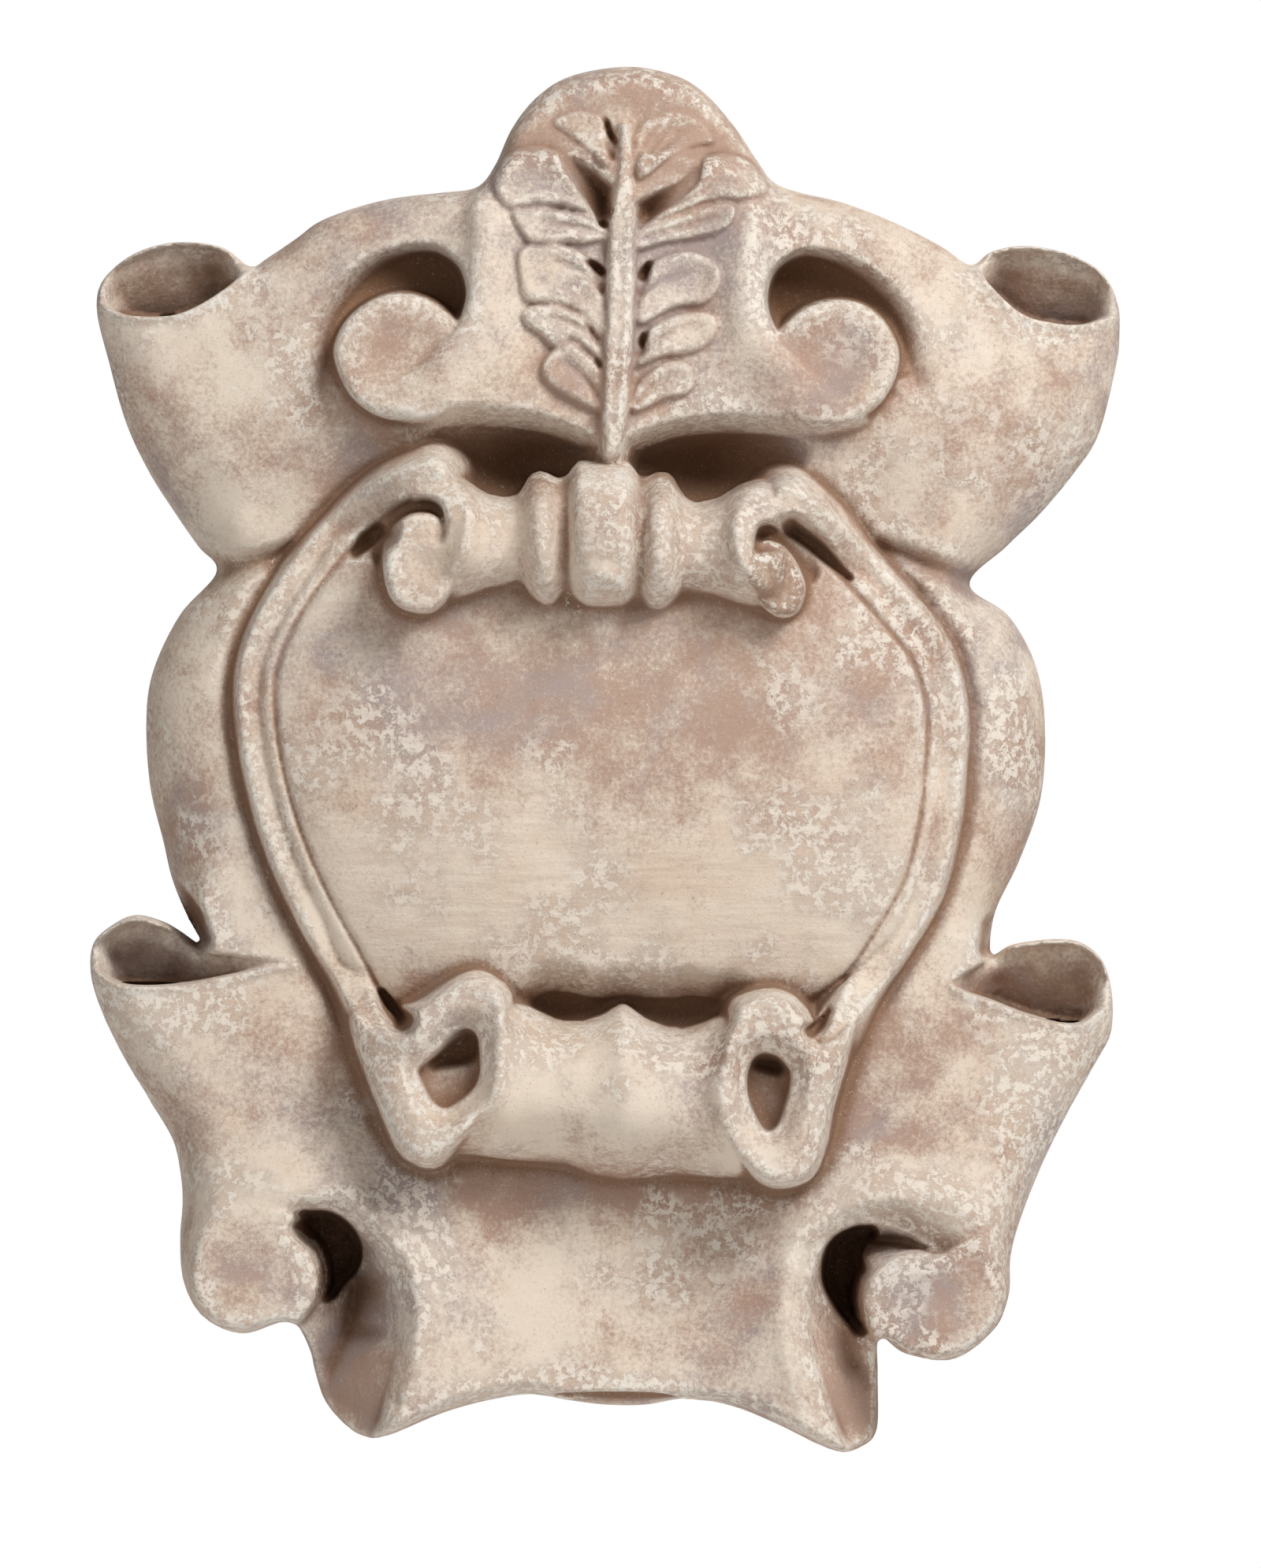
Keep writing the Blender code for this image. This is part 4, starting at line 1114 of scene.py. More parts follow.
EARS = (
    Ear(rim=((118, 376), (130, 350), (158, 330), (195, 314), (236, 309), (278, 316), (312, 338)),
        lip=((122, 380), (151, 396), (197, 400), (232, 394), (270, 374), (314, 342)),
        cup=(206, 397, 62, 30, -0.10)),
    Ear(rim=((1421, 392), (1400, 348), (1358, 324), (1302, 314), (1262, 321), (1236, 335)),
        lip=((1419, 398), (1400, 403), (1372, 410), (1337, 408), (1293, 394), (1240, 342)),
        cup=(1338, 408, 62, -30, 0.10)),
    Ear(rim=((113, 1224), (118, 1200), (142, 1180), (169, 1170), (202, 1178), (226, 1190), (254, 1208),
             (300, 1214), (372, 1222)),
        lip=((118, 1230), (142, 1244), (172, 1250), (227, 1248), (294, 1236), (340, 1226), (372, 1224)),
        cup=(180, 1249, 48, 26, 0.02)),
    Ear(rim=((1412, 1272), (1400, 1226), (1374, 1203), (1338, 1198), (1288, 1205), (1262, 1217),
             (1216, 1240)),
        lip=((1408, 1276), (1391, 1285), (1369, 1298), (1339, 1296), (1301, 1286), (1263, 1271),
             (1212, 1252)),
        cup=(1340, 1297, 48, -26, 0.02)),
)


@dataclass(frozen=True)
class Leaf:
    """Leaf on the crest: its lobes, its stem, and the drilled eyes and cut veins between them.

    A vein goes from its shallow end to its deep end. A wedge is cut between the two upper pairs of lobes.
    """

    lobes: tuple[Line, ...] = (
        ((702, 157), (723, 144), (751, 144), (766, 160), (768, 186), (770, 214), (746, 192), (722, 172)),
        ((808, 172), (827, 151), (855, 145), (884, 151), (907, 180), (884, 186), (852, 200), (820, 226),
         (808, 224)),
        ((628, 228), (643, 199), (666, 187), (695, 189), (718, 208), (742, 243), (762, 274), (742, 268),
         (709, 262), (676, 262), (648, 266), (630, 248)),
        ((650, 270), (657, 289), (676, 311), (709, 309), (742, 311), (771, 303), (764, 290), (737, 277),
         (700, 269), (672, 268)),
        ((808, 288), (846, 268), (884, 236), (893, 204), (922, 196), (955, 211), (972, 241), (950, 254),
         (907, 256), (860, 272), (814, 290)),
        ((812, 294), (860, 277), (907, 261), (932, 266), (922, 292), (884, 304), (846, 309), (808, 319)),
        ((659, 322), (685, 314), (718, 316), (742, 328), (752, 352), (766, 380), (768, 432), (742, 406),
         (718, 392), (671, 383), (661, 364)),
        ((810, 380), (822, 360), (828, 336), (855, 324), (884, 323), (911, 341), (911, 368), (893, 387),
         (855, 392), (811, 414)),
        ((664, 398), (685, 390), (718, 394), (747, 411), (763, 436), (765, 466), (742, 448), (722, 434),
         (704, 444), (690, 430), (667, 412)),
        ((722, 436), (742, 450), (763, 470), (764, 522), (732, 512), (704, 496), (687, 474), (696, 452)),
        ((806, 468), (818, 444), (823, 421), (855, 404), (893, 399), (908, 411), (903, 434), (879, 449),
         (846, 453)),
        ((804, 524), (808, 490), (836, 467), (865, 462), (880, 477), (874, 501), (846, 508)),
    )
    veins: tuple[Line, ...] = (
        ((694, 240), (730, 254), (756, 274)), ((690, 284), (730, 290), (764, 300)),
        ((902, 240), (866, 258), (822, 276)), ((900, 280), (860, 292), (818, 304)),
        ((704, 332), (742, 350), (764, 374)), ((874, 349), (838, 360), (808, 380)),
        ((700, 404), (732, 416), (759, 440)), ((723, 430), (744, 446), (764, 468)),
        ((884, 412), (848, 426), (812, 452)), ((716, 462), (740, 482), (758, 504)),
        ((862, 474), (834, 490), (808, 514)), ((836, 160), (822, 178), (808, 202)),
        ((852, 162), (838, 176), (822, 196)), ((866, 168), (852, 180), (838, 192)),
    )
    wedges: tuple[Line, ...] = (
        ((706, 186), (724, 198), (746, 216), (764, 236), (777, 256), (779, 280), (764, 280), (748, 262),
         (730, 238), (714, 212)),
        ((888, 210), (862, 232), (832, 250), (812, 268), (807, 279), (822, 278), (850, 262), (872, 240)),
    )
    eyes: tuple[Line, ...] = (
        ((766, 150), (772, 154), (776, 166), (784, 184), (778, 184), (768, 168)),
        ((772, 190), (777, 193), (781, 206), (776, 206)),
        ((742, 334), (752, 333), (762, 338), (769, 346), (768, 354), (760, 352), (752, 344)),
        ((828, 334), (822, 334), (812, 344), (809, 356), (816, 360), (822, 350)),
        ((742, 410), (751, 419), (761, 434), (757, 435), (747, 422)),
        ((822, 424), (814, 426), (809, 438), (813, 446), (819, 436)),
        ((755, 456), (762, 463), (764, 471), (759, 468)), ((758, 284), (772, 284), (773, 290), (760, 291)),
    )
    bed: Line = ((790, 128), (700, 132), (636, 180), (612, 240), (640, 310), (648, 430), (680, 510),
                 (776, 582), (870, 520), (920, 430), (930, 340), (984, 245), (944, 180), (890, 140))
    stem: Line = ((792, 166, 5), (793, 210, 8), (791, 250, 11), (789, 288, 15), (787, 364, 15),
                  (784, 440, 15), (780, 506, 15), (777, 556, 11), (775, 576, 8))
    swell: float = 14.5
    bed_depth: float = 7.0
    eye_depth: float = 30.0

    def work(self, clay: Clay) -> None:
        """Sinks the bed, swells the lobes, cuts the veins, lays the stem and drills the eyes, and paints
        shade along the lobes' edges and into the veins, wedges and eyes.

        Args:
            clay: The sheet.
        """
        clay.height -= self.bed_depth * ease((clay.area(self.bed) + 16) / 44)
        for lobe in self.lobes:
            edge = clay.area(lobe, margin=34)
            vague = 1 - 0.55 * ease((200 - clay.y) / 30)
            clay.height += vague * (self.swell * quarter((edge + 2) / 10) - 5 * ease((edge - 7) / 18))
            clay.height -= vague * 4.5 * np.exp(-((np.maximum(edge, -FAR_OFF) + 2) / 2.8) ** 2)
            # Painted shade along the lobe's edge
            clay.soil_and_shade(3 - np.abs(edge + 2), 0.3, 4)
        for vein in self.veins:
            edge, along = clay.band(tuple((x, y, 0.0) for x, y in vein), margin=20)
            clay.height -= (3 + 9 * along) * np.exp(-(np.clip(edge, -FAR_OFF, 0) / 3.4) ** 2)
            # Painted shade in the vein
            clay.soil_and_shade(edge + 3, 0.22, 3)
        for wedge in self.wedges:
            edge = clay.area(wedge)
            near = ease(1 - np.abs(clay.x - 790) / 74)
            clay.sink_to(edge, 246 - 54 * near, 8, slope=4.5, blend=5)
            # Painted shade in the wedge, darkest by the stem
            clay.soil_and_shade(edge - 1, 0.4 + 0.6 * near, 6)
        edge, along = clay.band(self.stem)
        top = 262 + 52 * ease((clay.y - 150) / 330) - 4 * ease((edge - 6) / 10)
        clay.raise_to(edge, top, 10, slope=4.0)
        for eye in self.eyes:
            edge = clay.area(eye)
            clay.height -= self.eye_depth * ease((edge + 2) / 6)
            # Painted shade in the eye
            clay.soil_and_shade(edge + 1, 0.66, 3)


@dataclass(frozen=True)
class ShadeAndTonePatches:
    """Where the wash is thick and where clay shows, with some painted shade and painted light, as soft
    patches: x, y, two radii and the share.
    """

    patches: tuple[Point, ...] = (
        # The darker upper field is painted shade under the spool, and the lighter lower field is painted
        # light
        (770, 880, 320, 90, -0.42), (600, 1140, 200, 110, 0.36), (960, 1170, 170, 90, 0.30),
        (220, 440, 90, 60, 0.2), (400, 560, 110, 60, -0.2), (300, 640, 90, 60, 0.2),
        (1220, 400, 90, 90, 0.18), (1130, 640, 110, 60, 0.1), (1300, 610, 60, 60, -0.34),
        (800, 112, 150, 40, -0.3), (690, 190, 60, 44, -0.34), (868, 190, 66, 44, -0.5),
        (790, 500, 60, 60, -0.24), (900, 300, 44, 60, -0.2), (690, 480, 60, 44, -0.26),
        (490, 450, 60, 60, -0.22), (1060, 460, 60, 60, -0.2), (200, 1290, 90, 64, 0.34),
        (300, 1350, 90, 50, -0.06), (1330, 470, 60, 80, -0.2), (1310, 1370, 80, 90, 0.22),
        (1210, 1300, 60, 60, -0.14), (790, 1508, 230, 30, -0.34), (700, 1640, 120, 100, 0.18),
        (860, 1620, 60, 110, 0.16), (920, 1650, 60, 80, -0.2), (300, 1496, 90, 40, 0.36),
        (1120, 1506, 130, 34, 0.32), (690, 1380, 60, 60, 0.34), (800, 1390, 50, 60, 0.2),
        (1180, 1656, 90, 70, -0.26), (310, 1610, 50, 50, -0.2), (440, 1740, 60, 60, -0.34),
        (1100, 1770, 50, 60, -0.3), (240, 1040, 44, 70, -0.26), (1280, 960, 44, 120, -0.16),
        (440, 700, 50, 40, -0.3), (640, 690, 60, 50, 0.3), (880, 690, 40, 50, 0.2),
        (580, 1270, 50, 30, -0.24), (940, 1470, 40, 20, 0.2),
    )

    def work(self, clay: Clay) -> None:
        """Marks the patches on the clay."""
        for x, y, across, down, share in self.patches:
            clay.tone += share * np.exp(-((clay.x - x) / across) ** 2 - ((clay.y - y) / down) ** 2)


@dataclass(frozen=True)
class Handwork:
    """What the hand and the years left: unevenness, tool marks, chips, scratches and pits."""

    seed: int = 11
    pattern: Point = (2100.0, 1700.0)
    scratches: tuple[Line, ...] = (
        ((726, 838), (742, 858)), ((448, 1752), (450, 1800)), ((456, 1760), (455, 1786)),
        ((441, 1764), (442, 1780)), ((1246, 548), (1290, 560)), ((604, 1130), (668, 1142)),
    )
    chips: tuple[Point, ...] = (
        (128, 352, 7), (205, 1168, 6), (1398, 1224, 8), (1404, 352, 6), (512, 1782, 9), (1098, 1838, 9),
        (606, 1242, 7), (1010, 1276, 9), (568, 594, 6), (1010, 618, 7), (672, 600, 5), (850, 600, 5),
        (230, 1640, 8), (1276, 1660, 9), (640, 180, 6), (944, 182, 7), (404, 1618, 5), (1096, 1640, 6),
        (728, 584, 4), (802, 586, 4), (430, 486, 6), (1130, 500, 7), (320, 900, 6), (1214, 930, 5),
    )
    crack: Line = ((1138, 480, 2), (1147, 477, 3), (1155, 473, 1))
    crumbs: tuple[Point, ...] = (
        (1084, 1680, 6), (1094, 1687, 5), (1090, 1674, 4), (1102, 1694, 4), (1076, 1672, 4), (1156, 482, 3),
        (484, 690, 3), (476, 678, 3), (752, 340, 3), (760, 348, 3),
    )

    def ripple(self, clay: Clay, size: float, seed: int) -> np.ndarray:
        """Smooth unevenness.

        Args:
            clay: The sheet.
            size: Rough size of a bump, in drawn units.
            seed: Number that the pattern starts from.

        Returns:
            Values from about -1 to 1.
        """
        cells = tuple(int(length / size) + 4 for length in self.pattern)
        lattice = np.random.default_rng(self.seed + seed).uniform(-1, 1, cells)
        u = clay.x / size
        v = clay.y / size
        i = np.floor(u).astype(int)
        j = np.floor(v).astype(int)
        return blended_cells(lattice, (i, j), (ease(u - i), ease(v - j)))

    def work(self, clay: Clay) -> None:
        """Leaves the marks on the finished form.

        Args:
            clay: The sheet.
        """
        clay.height += 3.0 * self.ripple(clay, 150, 1) + 1.6 * self.ripple(clay, 61, 2)
        clay.height += 0.8 * self.ripple(clay, 23, 3) + 0.35 * self.ripple(clay, 9, 4)
        for scratch in self.scratches:
            clay.incise(scratch, 2.2, 1.8)
        for x, y, size in self.chips:
            near = clay.oval((x, y), (size * 2.2, size * 1.6)) + size * 0.5 * self.ripple(clay, 6, 5)
            clay.height -= 0.55 * size * ease(near / size)
        edge = clay.band(self.crack)[0]
        clay.height -= 7 * ease((edge + 3) / 6)
        clay.soil_and_shade(edge, 0.6, 4)
        for x, y, size in self.crumbs:
            lump = clay.oval((x, y), (size, size * 0.8))
            clay.height += 1.6 * size * quarter(lump / size)
            clay.dirt_and_shade = np.where(lump > 0, 0.1, clay.dirt_and_shade)


@dataclass(frozen=True)
class Sizes:
    """Sizes that the dressing takes from the solid, in metres.

    The edge reach is how far in from the outline the rounding is measured, in drawn units.
    """

    wall: float = 0.020
    cup_depth: float = 0.076
    allowance: float = 0.004
    edge_reach: float = 140.0


class Panel:
    """The whole cartouche: the worked clay, its mesh, its opened ears, its wear and its painted shade."""

    def __init__(self, grain: Grain) -> None:
        """Takes the drawn and the relief unit from the solid's box.

        Args:
            grain: How fine the panel is modelled.
        """
        self.low, self.high = (Vector(corner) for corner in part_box(NODE))
        self.step, self.voxel, self.triangles = grain.value
        self.unit = (self.high.z - self.low.z) / DRAWN_HEIGHT
        self.relief = (self.high.y - self.low.y) / RELIEF_TOP
        self.sizes = Sizes()
        self.strap = Strap()
        self.outline = curve(tuple((*point, *point[:2]) for point in Outline().points()), closed=True)
        corners = self.outline[:, :2]
        self.clay = Clay(corners.min(0) - 3 * self.step, corners.max(0) + 3 * self.step, self.step)
        self.front = np.zeros(self.clay.x.shape)
        self.inside = np.zeros(self.clay.x.shape)
        self.edge_in = np.zeros(self.clay.x.shape)

    def place(self, x: np.ndarray, y: np.ndarray, height: np.ndarray) -> np.ndarray:
        """World place of a place on the drawing at a height above the wall.

        Args:
            x: Drawn units to the right.
            y: Drawn units down.
            height: Relief units from the wall.

        Returns:
            Rows of world coordinates.
        """
        return np.stack([(x - MIDDLE_X) * self.unit, -height * self.relief, (MIDDLE_Y - y) * self.unit], -1)

    def work_clay(self) -> None:
        """Works every ornament in turn, from the broad form to the marks of the tools."""
        clay = self.clay
        Ground().work(clay)
        SideLobes().work(clay)
        surface = Field()
        surface.work(clay, self.strap)
        Tongue().work(clay)
        for scroll in UPPER_SCROLLS:
            scroll.work(clay)
        self.strap.work(clay, self.unit, surface.border(self.strap))
        UpperSpool().work(clay)
        LowerSpool().work(clay)
        Apron().work(clay)
        for ear in EARS:
            ear.work(clay, self.sizes.wall / self.unit)
        Leaf().work(clay)
        Handwork().work(clay)
        ShadeAndTonePatches().work(clay)

    def sheet(self) -> bpy.types.Object:
        """Makes the closed mesh between the worked front and the plain back.

        Returns:
            The new object.
        """
        clay = self.clay
        far, where = clay.trace(self.outline, self.sizes.edge_reach, closed=True)
        edge = clay.columns(np.vstack([self.outline, self.outline[:1]]), where)
        inside = clay.within(self.outline)
        depth_in = np.where(inside, np.minimum(far, self.sizes.edge_reach), 0.0)
        within = np.where(inside, far, -far)
        lift = edge[..., 0]
        front = lift + (clay.height - lift) * quarter(depth_in / edge[..., 1])
        back = lift * (1 - quarter(depth_in / edge[..., 2]))
        self.front = np.where(inside, front, 0.0)
        self.inside = inside.astype(float)
        self.edge_in = depth_in

        kept = within > -0.5 * self.step
        cells = kept[:-1, :-1] & kept[1:, :-1] & kept[:-1, 1:] & kept[1:, 1:]
        count = np.zeros(clay.x.shape, int)
        for rows in (slice(0, -1), slice(1, None)):
            for columns in (slice(0, -1), slice(1, None)):
                count[rows, columns] += cells
        border = (count > 0) & (count < 4)
        front = np.where(border, lift, front)
        x = np.where(border, edge[..., 3], clay.x)
        y = np.where(border, edge[..., 4], clay.y)
        allowance = self.sizes.allowance / self.relief
        back = np.where(border, front, np.minimum(back, front - allowance) - allowance)

        used = count > 0
        inner = used & ~border
        index = np.full(x.shape, -1)
        index[used] = np.arange(used.sum())
        behind = index.copy()
        behind[inner] = used.sum() + np.arange(inner.sum())
        points = np.vstack([self.place(x, y, front)[used], self.place(x, y, back)[inner]])
        quads = np.stack([index[:-1, :-1], index[1:, :-1], index[1:, 1:], index[:-1, 1:]], -1)[cells]
        rear = np.stack([behind[:-1, :-1], behind[:-1, 1:], behind[1:, 1:], behind[1:, :-1]], -1)[cells]
        flat = (quads == rear[:, [0, 3, 2, 1]]).all(1)
        mesh = bpy.data.meshes.new("limewashed_cartouche")
        mesh.from_pydata(points.tolist(), [], np.vstack([quads[~flat], rear[~flat]]).tolist())
        mesh.validate()
        panel = bpy.data.objects.new("limewashed_cartouche", mesh)
        bpy.context.scene.collection.objects.link(panel)
        return panel

    def cup_cutter(self, ear: Ear) -> bpy.types.Object:
        """Models the tapered hollow of one ear from a cylinder.

        Args:
            ear: The ear that it opens.

        Returns:
            The cutter.
        """
        x, y, half_width, lean, tilt = ear.cup
        thick = (ear.cup_front - self.sizes.wall / self.relief - ear.cup_floor) / 2
        bpy.ops.mesh.primitive_cylinder_add(vertices=ear.cup_sides, radius=1.0, depth=1.0,
                                            end_fill_type="NGON")
        cutter = bpy.context.object
        bpy.ops.object.mode_set(mode="EDIT")
        bpy.ops.mesh.select_all(action="DESELECT")
        shape = bmesh.from_edit_mesh(cutter.data)
        for item in shape.edges:
            item.select_set(abs(item.verts[0].co.z - item.verts[1].co.z) > 0.5)
        bmesh.update_edit_mesh(cutter.data)
        bpy.ops.mesh.subdivide_edgering(number_cuts=ear.cup_rings, interpolation="LINEAR", smoothness=0)
        bpy.ops.object.mode_set(mode="OBJECT")
        points = vectors(cutter.data, "co")
        share = 0.5 - points[:, 2]
        size = 1 - ear.narrowing * share ** 2
        px = x + lean * share + half_width * size * points[:, 0]
        py = y + self.sizes.cup_depth / self.unit * share + tilt * (px - x)
        height = ear.cup_floor + thick + thick * size * points[:, 1]
        cutter.data.vertices.foreach_set("co", self.place(px, py, height).ravel())
        bpy.ops.object.mode_set(mode="EDIT")
        bpy.ops.mesh.select_all(action="SELECT")
        bpy.ops.mesh.normals_make_consistent(inside=False)
        bpy.ops.object.mode_set(mode="OBJECT")
        return cutter

    def finish_with(self, panel: bpy.types.Object, kind: str, **settings: object) -> None:
        """Adds a modifier with its settings and applies it.

        Args:
            panel: The object.
            kind: The modifier's type.
            **settings: Its values.
        """
        bpy.ops.object.select_all(action="DESELECT")
        panel.select_set(True)
        bpy.context.view_layer.objects.active = panel
        modifier = panel.modifiers.new(kind.title(), kind)
        for name, value in settings.items():
            setattr(modifier, name, value)
        bpy.ops.object.modifier_apply(modifier=modifier.name)

    def flatten_back(self, panel: bpy.types.Object) -> None:
        """Cuts the back off flat on the wall plane.

        Args:
            panel: The object.
        """
        shape = bmesh.new()
        shape.from_mesh(panel.data)
        everything = shape.verts[:] + shape.edges[:] + shape.faces[:]
        cut = bmesh.ops.bisect_plane(shape, geom=everything, dist=1e-6, plane_co=(0, 0, 0),
                                     plane_no=(0, 1, 0), clear_outer=True)
        rim = [item for item in cut["geom_cut"] if isinstance(item, bmesh.types.BMEdge)]
        filled = bmesh.ops.edgeloop_fill(shape, edges=rim)
        bmesh.ops.triangulate(shape, faces=filled["faces"])
        bmesh.ops.recalc_face_normals(shape, faces=shape.faces)
        shape.to_mesh(panel.data)
        shape.free()

    def fit_to_solid(self, panel: bpy.types.Object) -> None:
        """Draws the piece in by a hair so that it stays inside the solid's box.

        Args:
            panel: The object.
        """
        points = vectors(panel.data, "co")
        low = points.min(0)
        high = points.max(0)
        goal_low = np.maximum(low, np.array(self.low))
        goal_high = np.minimum(high, np.array(self.high))
        points = goal_low + (points - low) * (goal_high - goal_low) / (high - low)
        panel.data.vertices.foreach_set("co", points.ravel())
        panel.data.update()

    def sample(self, net: np.ndarray, points: np.ndarray) -> np.ndarray:
        """Reads a net of values at world places.

        Args:
            net: The values on the drawing.
            points: World coordinates.

        Returns:
            One value for each place.
        """
        u = (points[:, 0] / self.unit + MIDDLE_X - self.clay.low[0]) / self.step
        v = (MIDDLE_Y - points[:, 2] / self.unit - self.clay.low[1]) / self.step
        i = np.clip(u.astype(int), 0, net.shape[1] - 2)
        j = np.clip(v.astype(int), 0, net.shape[0] - 2)
        return blended_cells(net, (i, j), (np.clip(u - i, 0, 1), np.clip(v - j, 0, 1)))

    def mark_wear_and_shade(self, panel: bpy.types.Object) -> None:
        """Stores on each vertex how deep, how exposed, how dirty and shaded, and how brushed it is.

        Args:
            panel: The object.
        """
        mesh = panel.data
        points = vectors(mesh, "co")
        normals = vectors(mesh, "normal")
        height = -points[:, 1] / self.relief
        marks = {}
        # How far each place lies below or above its surroundings, later used to paint shade into hollows
        # and to mark the ridges
        reaches = {"fine": 7.0, "middle": 20.0, "broad": 70.0}
        for name, reach in reaches.items():
            around = softened(self.front, max(1, int(reach / self.step)), self.inside)
            marks[name] = (self.sample(around, points) - height) / reach
        marks["dirt_and_shade"] = self.sample(self.clay.dirt_and_shade, points)
        # Cups and undercuts below the front surface are marked to be painted darker, as shade
        below = self.sample(self.front, points) - height
        inner = ease((self.sample(self.edge_in, points) - 8) / 12) * (normals[:, 1] < 0.2)
        marks["dirt_and_shade"] = np.maximum(marks["dirt_and_shade"], np.clip((below - 30) / 60, 0, 1) * inner * 0.3)
        marks["brushed"] = self.sample(self.clay.brushed, points)
        sheltered = self.sample(self.clay.shelter, points)
        open_air = ease(self.sample(self.edge_in, points) / 26) * (1 - 0.7 * sheltered)
        for name in reaches:
            marks[name] = np.where(marks[name] > 0, marks[name] * open_air, marks[name])
        marks["tone"] = self.sample(self.clay.tone, points)
        marks["rear"] = np.clip((normals[:, 1] + 0.1) / 0.6, 0, 1)
        for name, values in marks.items():
            layer = mesh.attributes.new(name, "FLOAT", "POINT")
            layer.data.foreach_set("value", values.astype(np.float32))

    def build(self) -> bpy.types.Object:
        """Models the panel.

        Returns:
            The finished object.
        """
        self.work_clay()
        panel = self.sheet()
        for ear in EARS:
            cutter = self.cup_cutter(ear)
            self.finish_with(panel, "BOOLEAN", operation="DIFFERENCE", solver="EXACT", object=cutter)
            bpy.data.objects.remove(cutter)
        self.finish_with(panel, "REMESH", mode="VOXEL", voxel_size=self.voxel)
        self.finish_with(panel, "SMOOTH", factor=0.5, iterations=2)
        panel.data.calc_loop_triangles()
        self.finish_with(panel, "DECIMATE", ratio=self.triangles / len(panel.data.loop_triangles))
        self.flatten_back(panel)
        self.fit_to_solid(panel)
        self.mark_wear_and_shade(panel)
        panel.data.shade_smooth()
        return panel


class Value:
    """A socket in an expression, whose operators add Math nodes."""

    def __init__(self, nodes: "Nodes", socket: bpy.types.NodeSocket) -> None:
        """Wraps a socket of the tree that nodes holds."""
        self.nodes = nodes
        self.socket = socket

    def math(self, operation: str, *others: object, clamp: bool = False) -> "Value":
        """Adds a Math node on this value and others.

        Args:
            operation: The node's operation.
            *others: Further values or numbers.
            clamp: Whether the result is kept within 0 and 1.

        Returns:
            The result.
        """
        settings = {"operation": operation, "use_clamp": clamp}
        return self.nodes.add("ShaderNodeMath", settings, dict(enumerate((self, *others))))

    def __add__(self, other: object) -> "Value":
        """Sum."""
        return self.math("ADD", other)

    __radd__ = __add__

    def __mul__(self, other: object) -> "Value":
        """Product."""
        return self.math("MULTIPLY", other)

    __rmul__ = __mul__

    def __sub__(self, other: object) -> "Value":
        """Difference."""
        return self.math("SUBTRACT", other)

    def __rsub__(self, other: float) -> "Value":
        """Difference from a number."""
        return self.nodes.add("ShaderNodeMath", {"operation": "SUBTRACT"}, {0: other, 1: self})

    def clamped(self) -> "Value":
        """Kept within 0 and 1."""
        return self.math("ADD", 0.0, clamp=True)

    def between(self, low: float, high: float) -> "Value":
        """Smooth step from 0 at low to 1 at high.

        Args:
            low: Value that becomes 0.
            high: Value that becomes 1.

        Returns:
            The step.
        """
        settings = {"interpolation_type": "SMOOTHSTEP"}
        inputs = {"Value": self, "From Min": low, "From Max": high, "To Min": 0.0, "To Max": 1.0}
        return self.nodes.add("ShaderNodeMapRange", settings, inputs)


class Nodes:
    """The node tree of one material."""

    def __init__(self, material: bpy.types.Material) -> None:
        """Empties the material's tree.

        Args:
            material: The material.
        """
        material.use_nodes = True
        self.tree = material.node_tree
        self.tree.nodes.clear()

    def add(self, kind: str, settings: dict[str, object], inputs: dict[object, object],
            output: int | str = 0) -> Value:
        """Adds a node.

        Args:
            kind: The node's type.
            settings: Its properties, set first.
            inputs: Values or links of its sockets, by name or number.
            output: The socket that is read.

        Returns:
            That socket, in an expression.
        """
        node = self.tree.nodes.new(kind)
        for name, value in settings.items():
            setattr(node, name, value)
        for key, value in inputs.items():
            if isinstance(value, Value):
                self.tree.links.new(value.socket, node.inputs[key])
            else:
                node.inputs[key].default_value = value
        return Value(self, node.outputs[output])

    def mark(self, name: str) -> Value:
        """Reads a wear mark that is stored on the vertices."""
        return self.add("ShaderNodeAttribute", {"attribute_name": name}, {}, "Fac")

    def noise(self, scale: float, detail: float = 4.0, roughness: float = 0.55, offset: float = 0.0,
              stretch: tuple[float, float, float] = (1.0, 1.0, 1.0), distortion: float = 0.0) -> Value:
        """Cloudy values from 0 to 1.

        Args:
            scale: Clouds to a metre.
            detail: Octaves of finer clouds.
            roughness: Weight of the finer ones.
            offset: Shift of the pattern, in metres.
            stretch: Scale of each axis.
            distortion: How much the pattern is swirled.

        Returns:
            The values.
        """
        place = self.add("ShaderNodeTexCoord", {}, {}, "Object")
        shift = (offset, offset * 1.7, offset * 0.6)
        where = self.add("ShaderNodeMapping", {}, {"Vector": place, "Scale": stretch, "Location": shift})
        inputs = {"Vector": where, "Scale": scale, "Detail": detail, "Roughness": roughness,
                  "Distortion": distortion}
        return self.add("ShaderNodeTexNoise", {}, inputs, "Fac")

    def mix(self, share: Value | float, under: object, over: object) -> Value:
        """Mixes two colours, whose sockets on the node have numbers.

        Args:
            share: How much of the upper one shows.
            under: Lower colour.
            over: Upper colour.

        Returns:
            The mixed colour.
        """
        settings = {"data_type": "RGBA", "clamp_factor": True}
        return self.add("ShaderNodeMix", settings, {0: share, 6: under, 7: over}, 2)


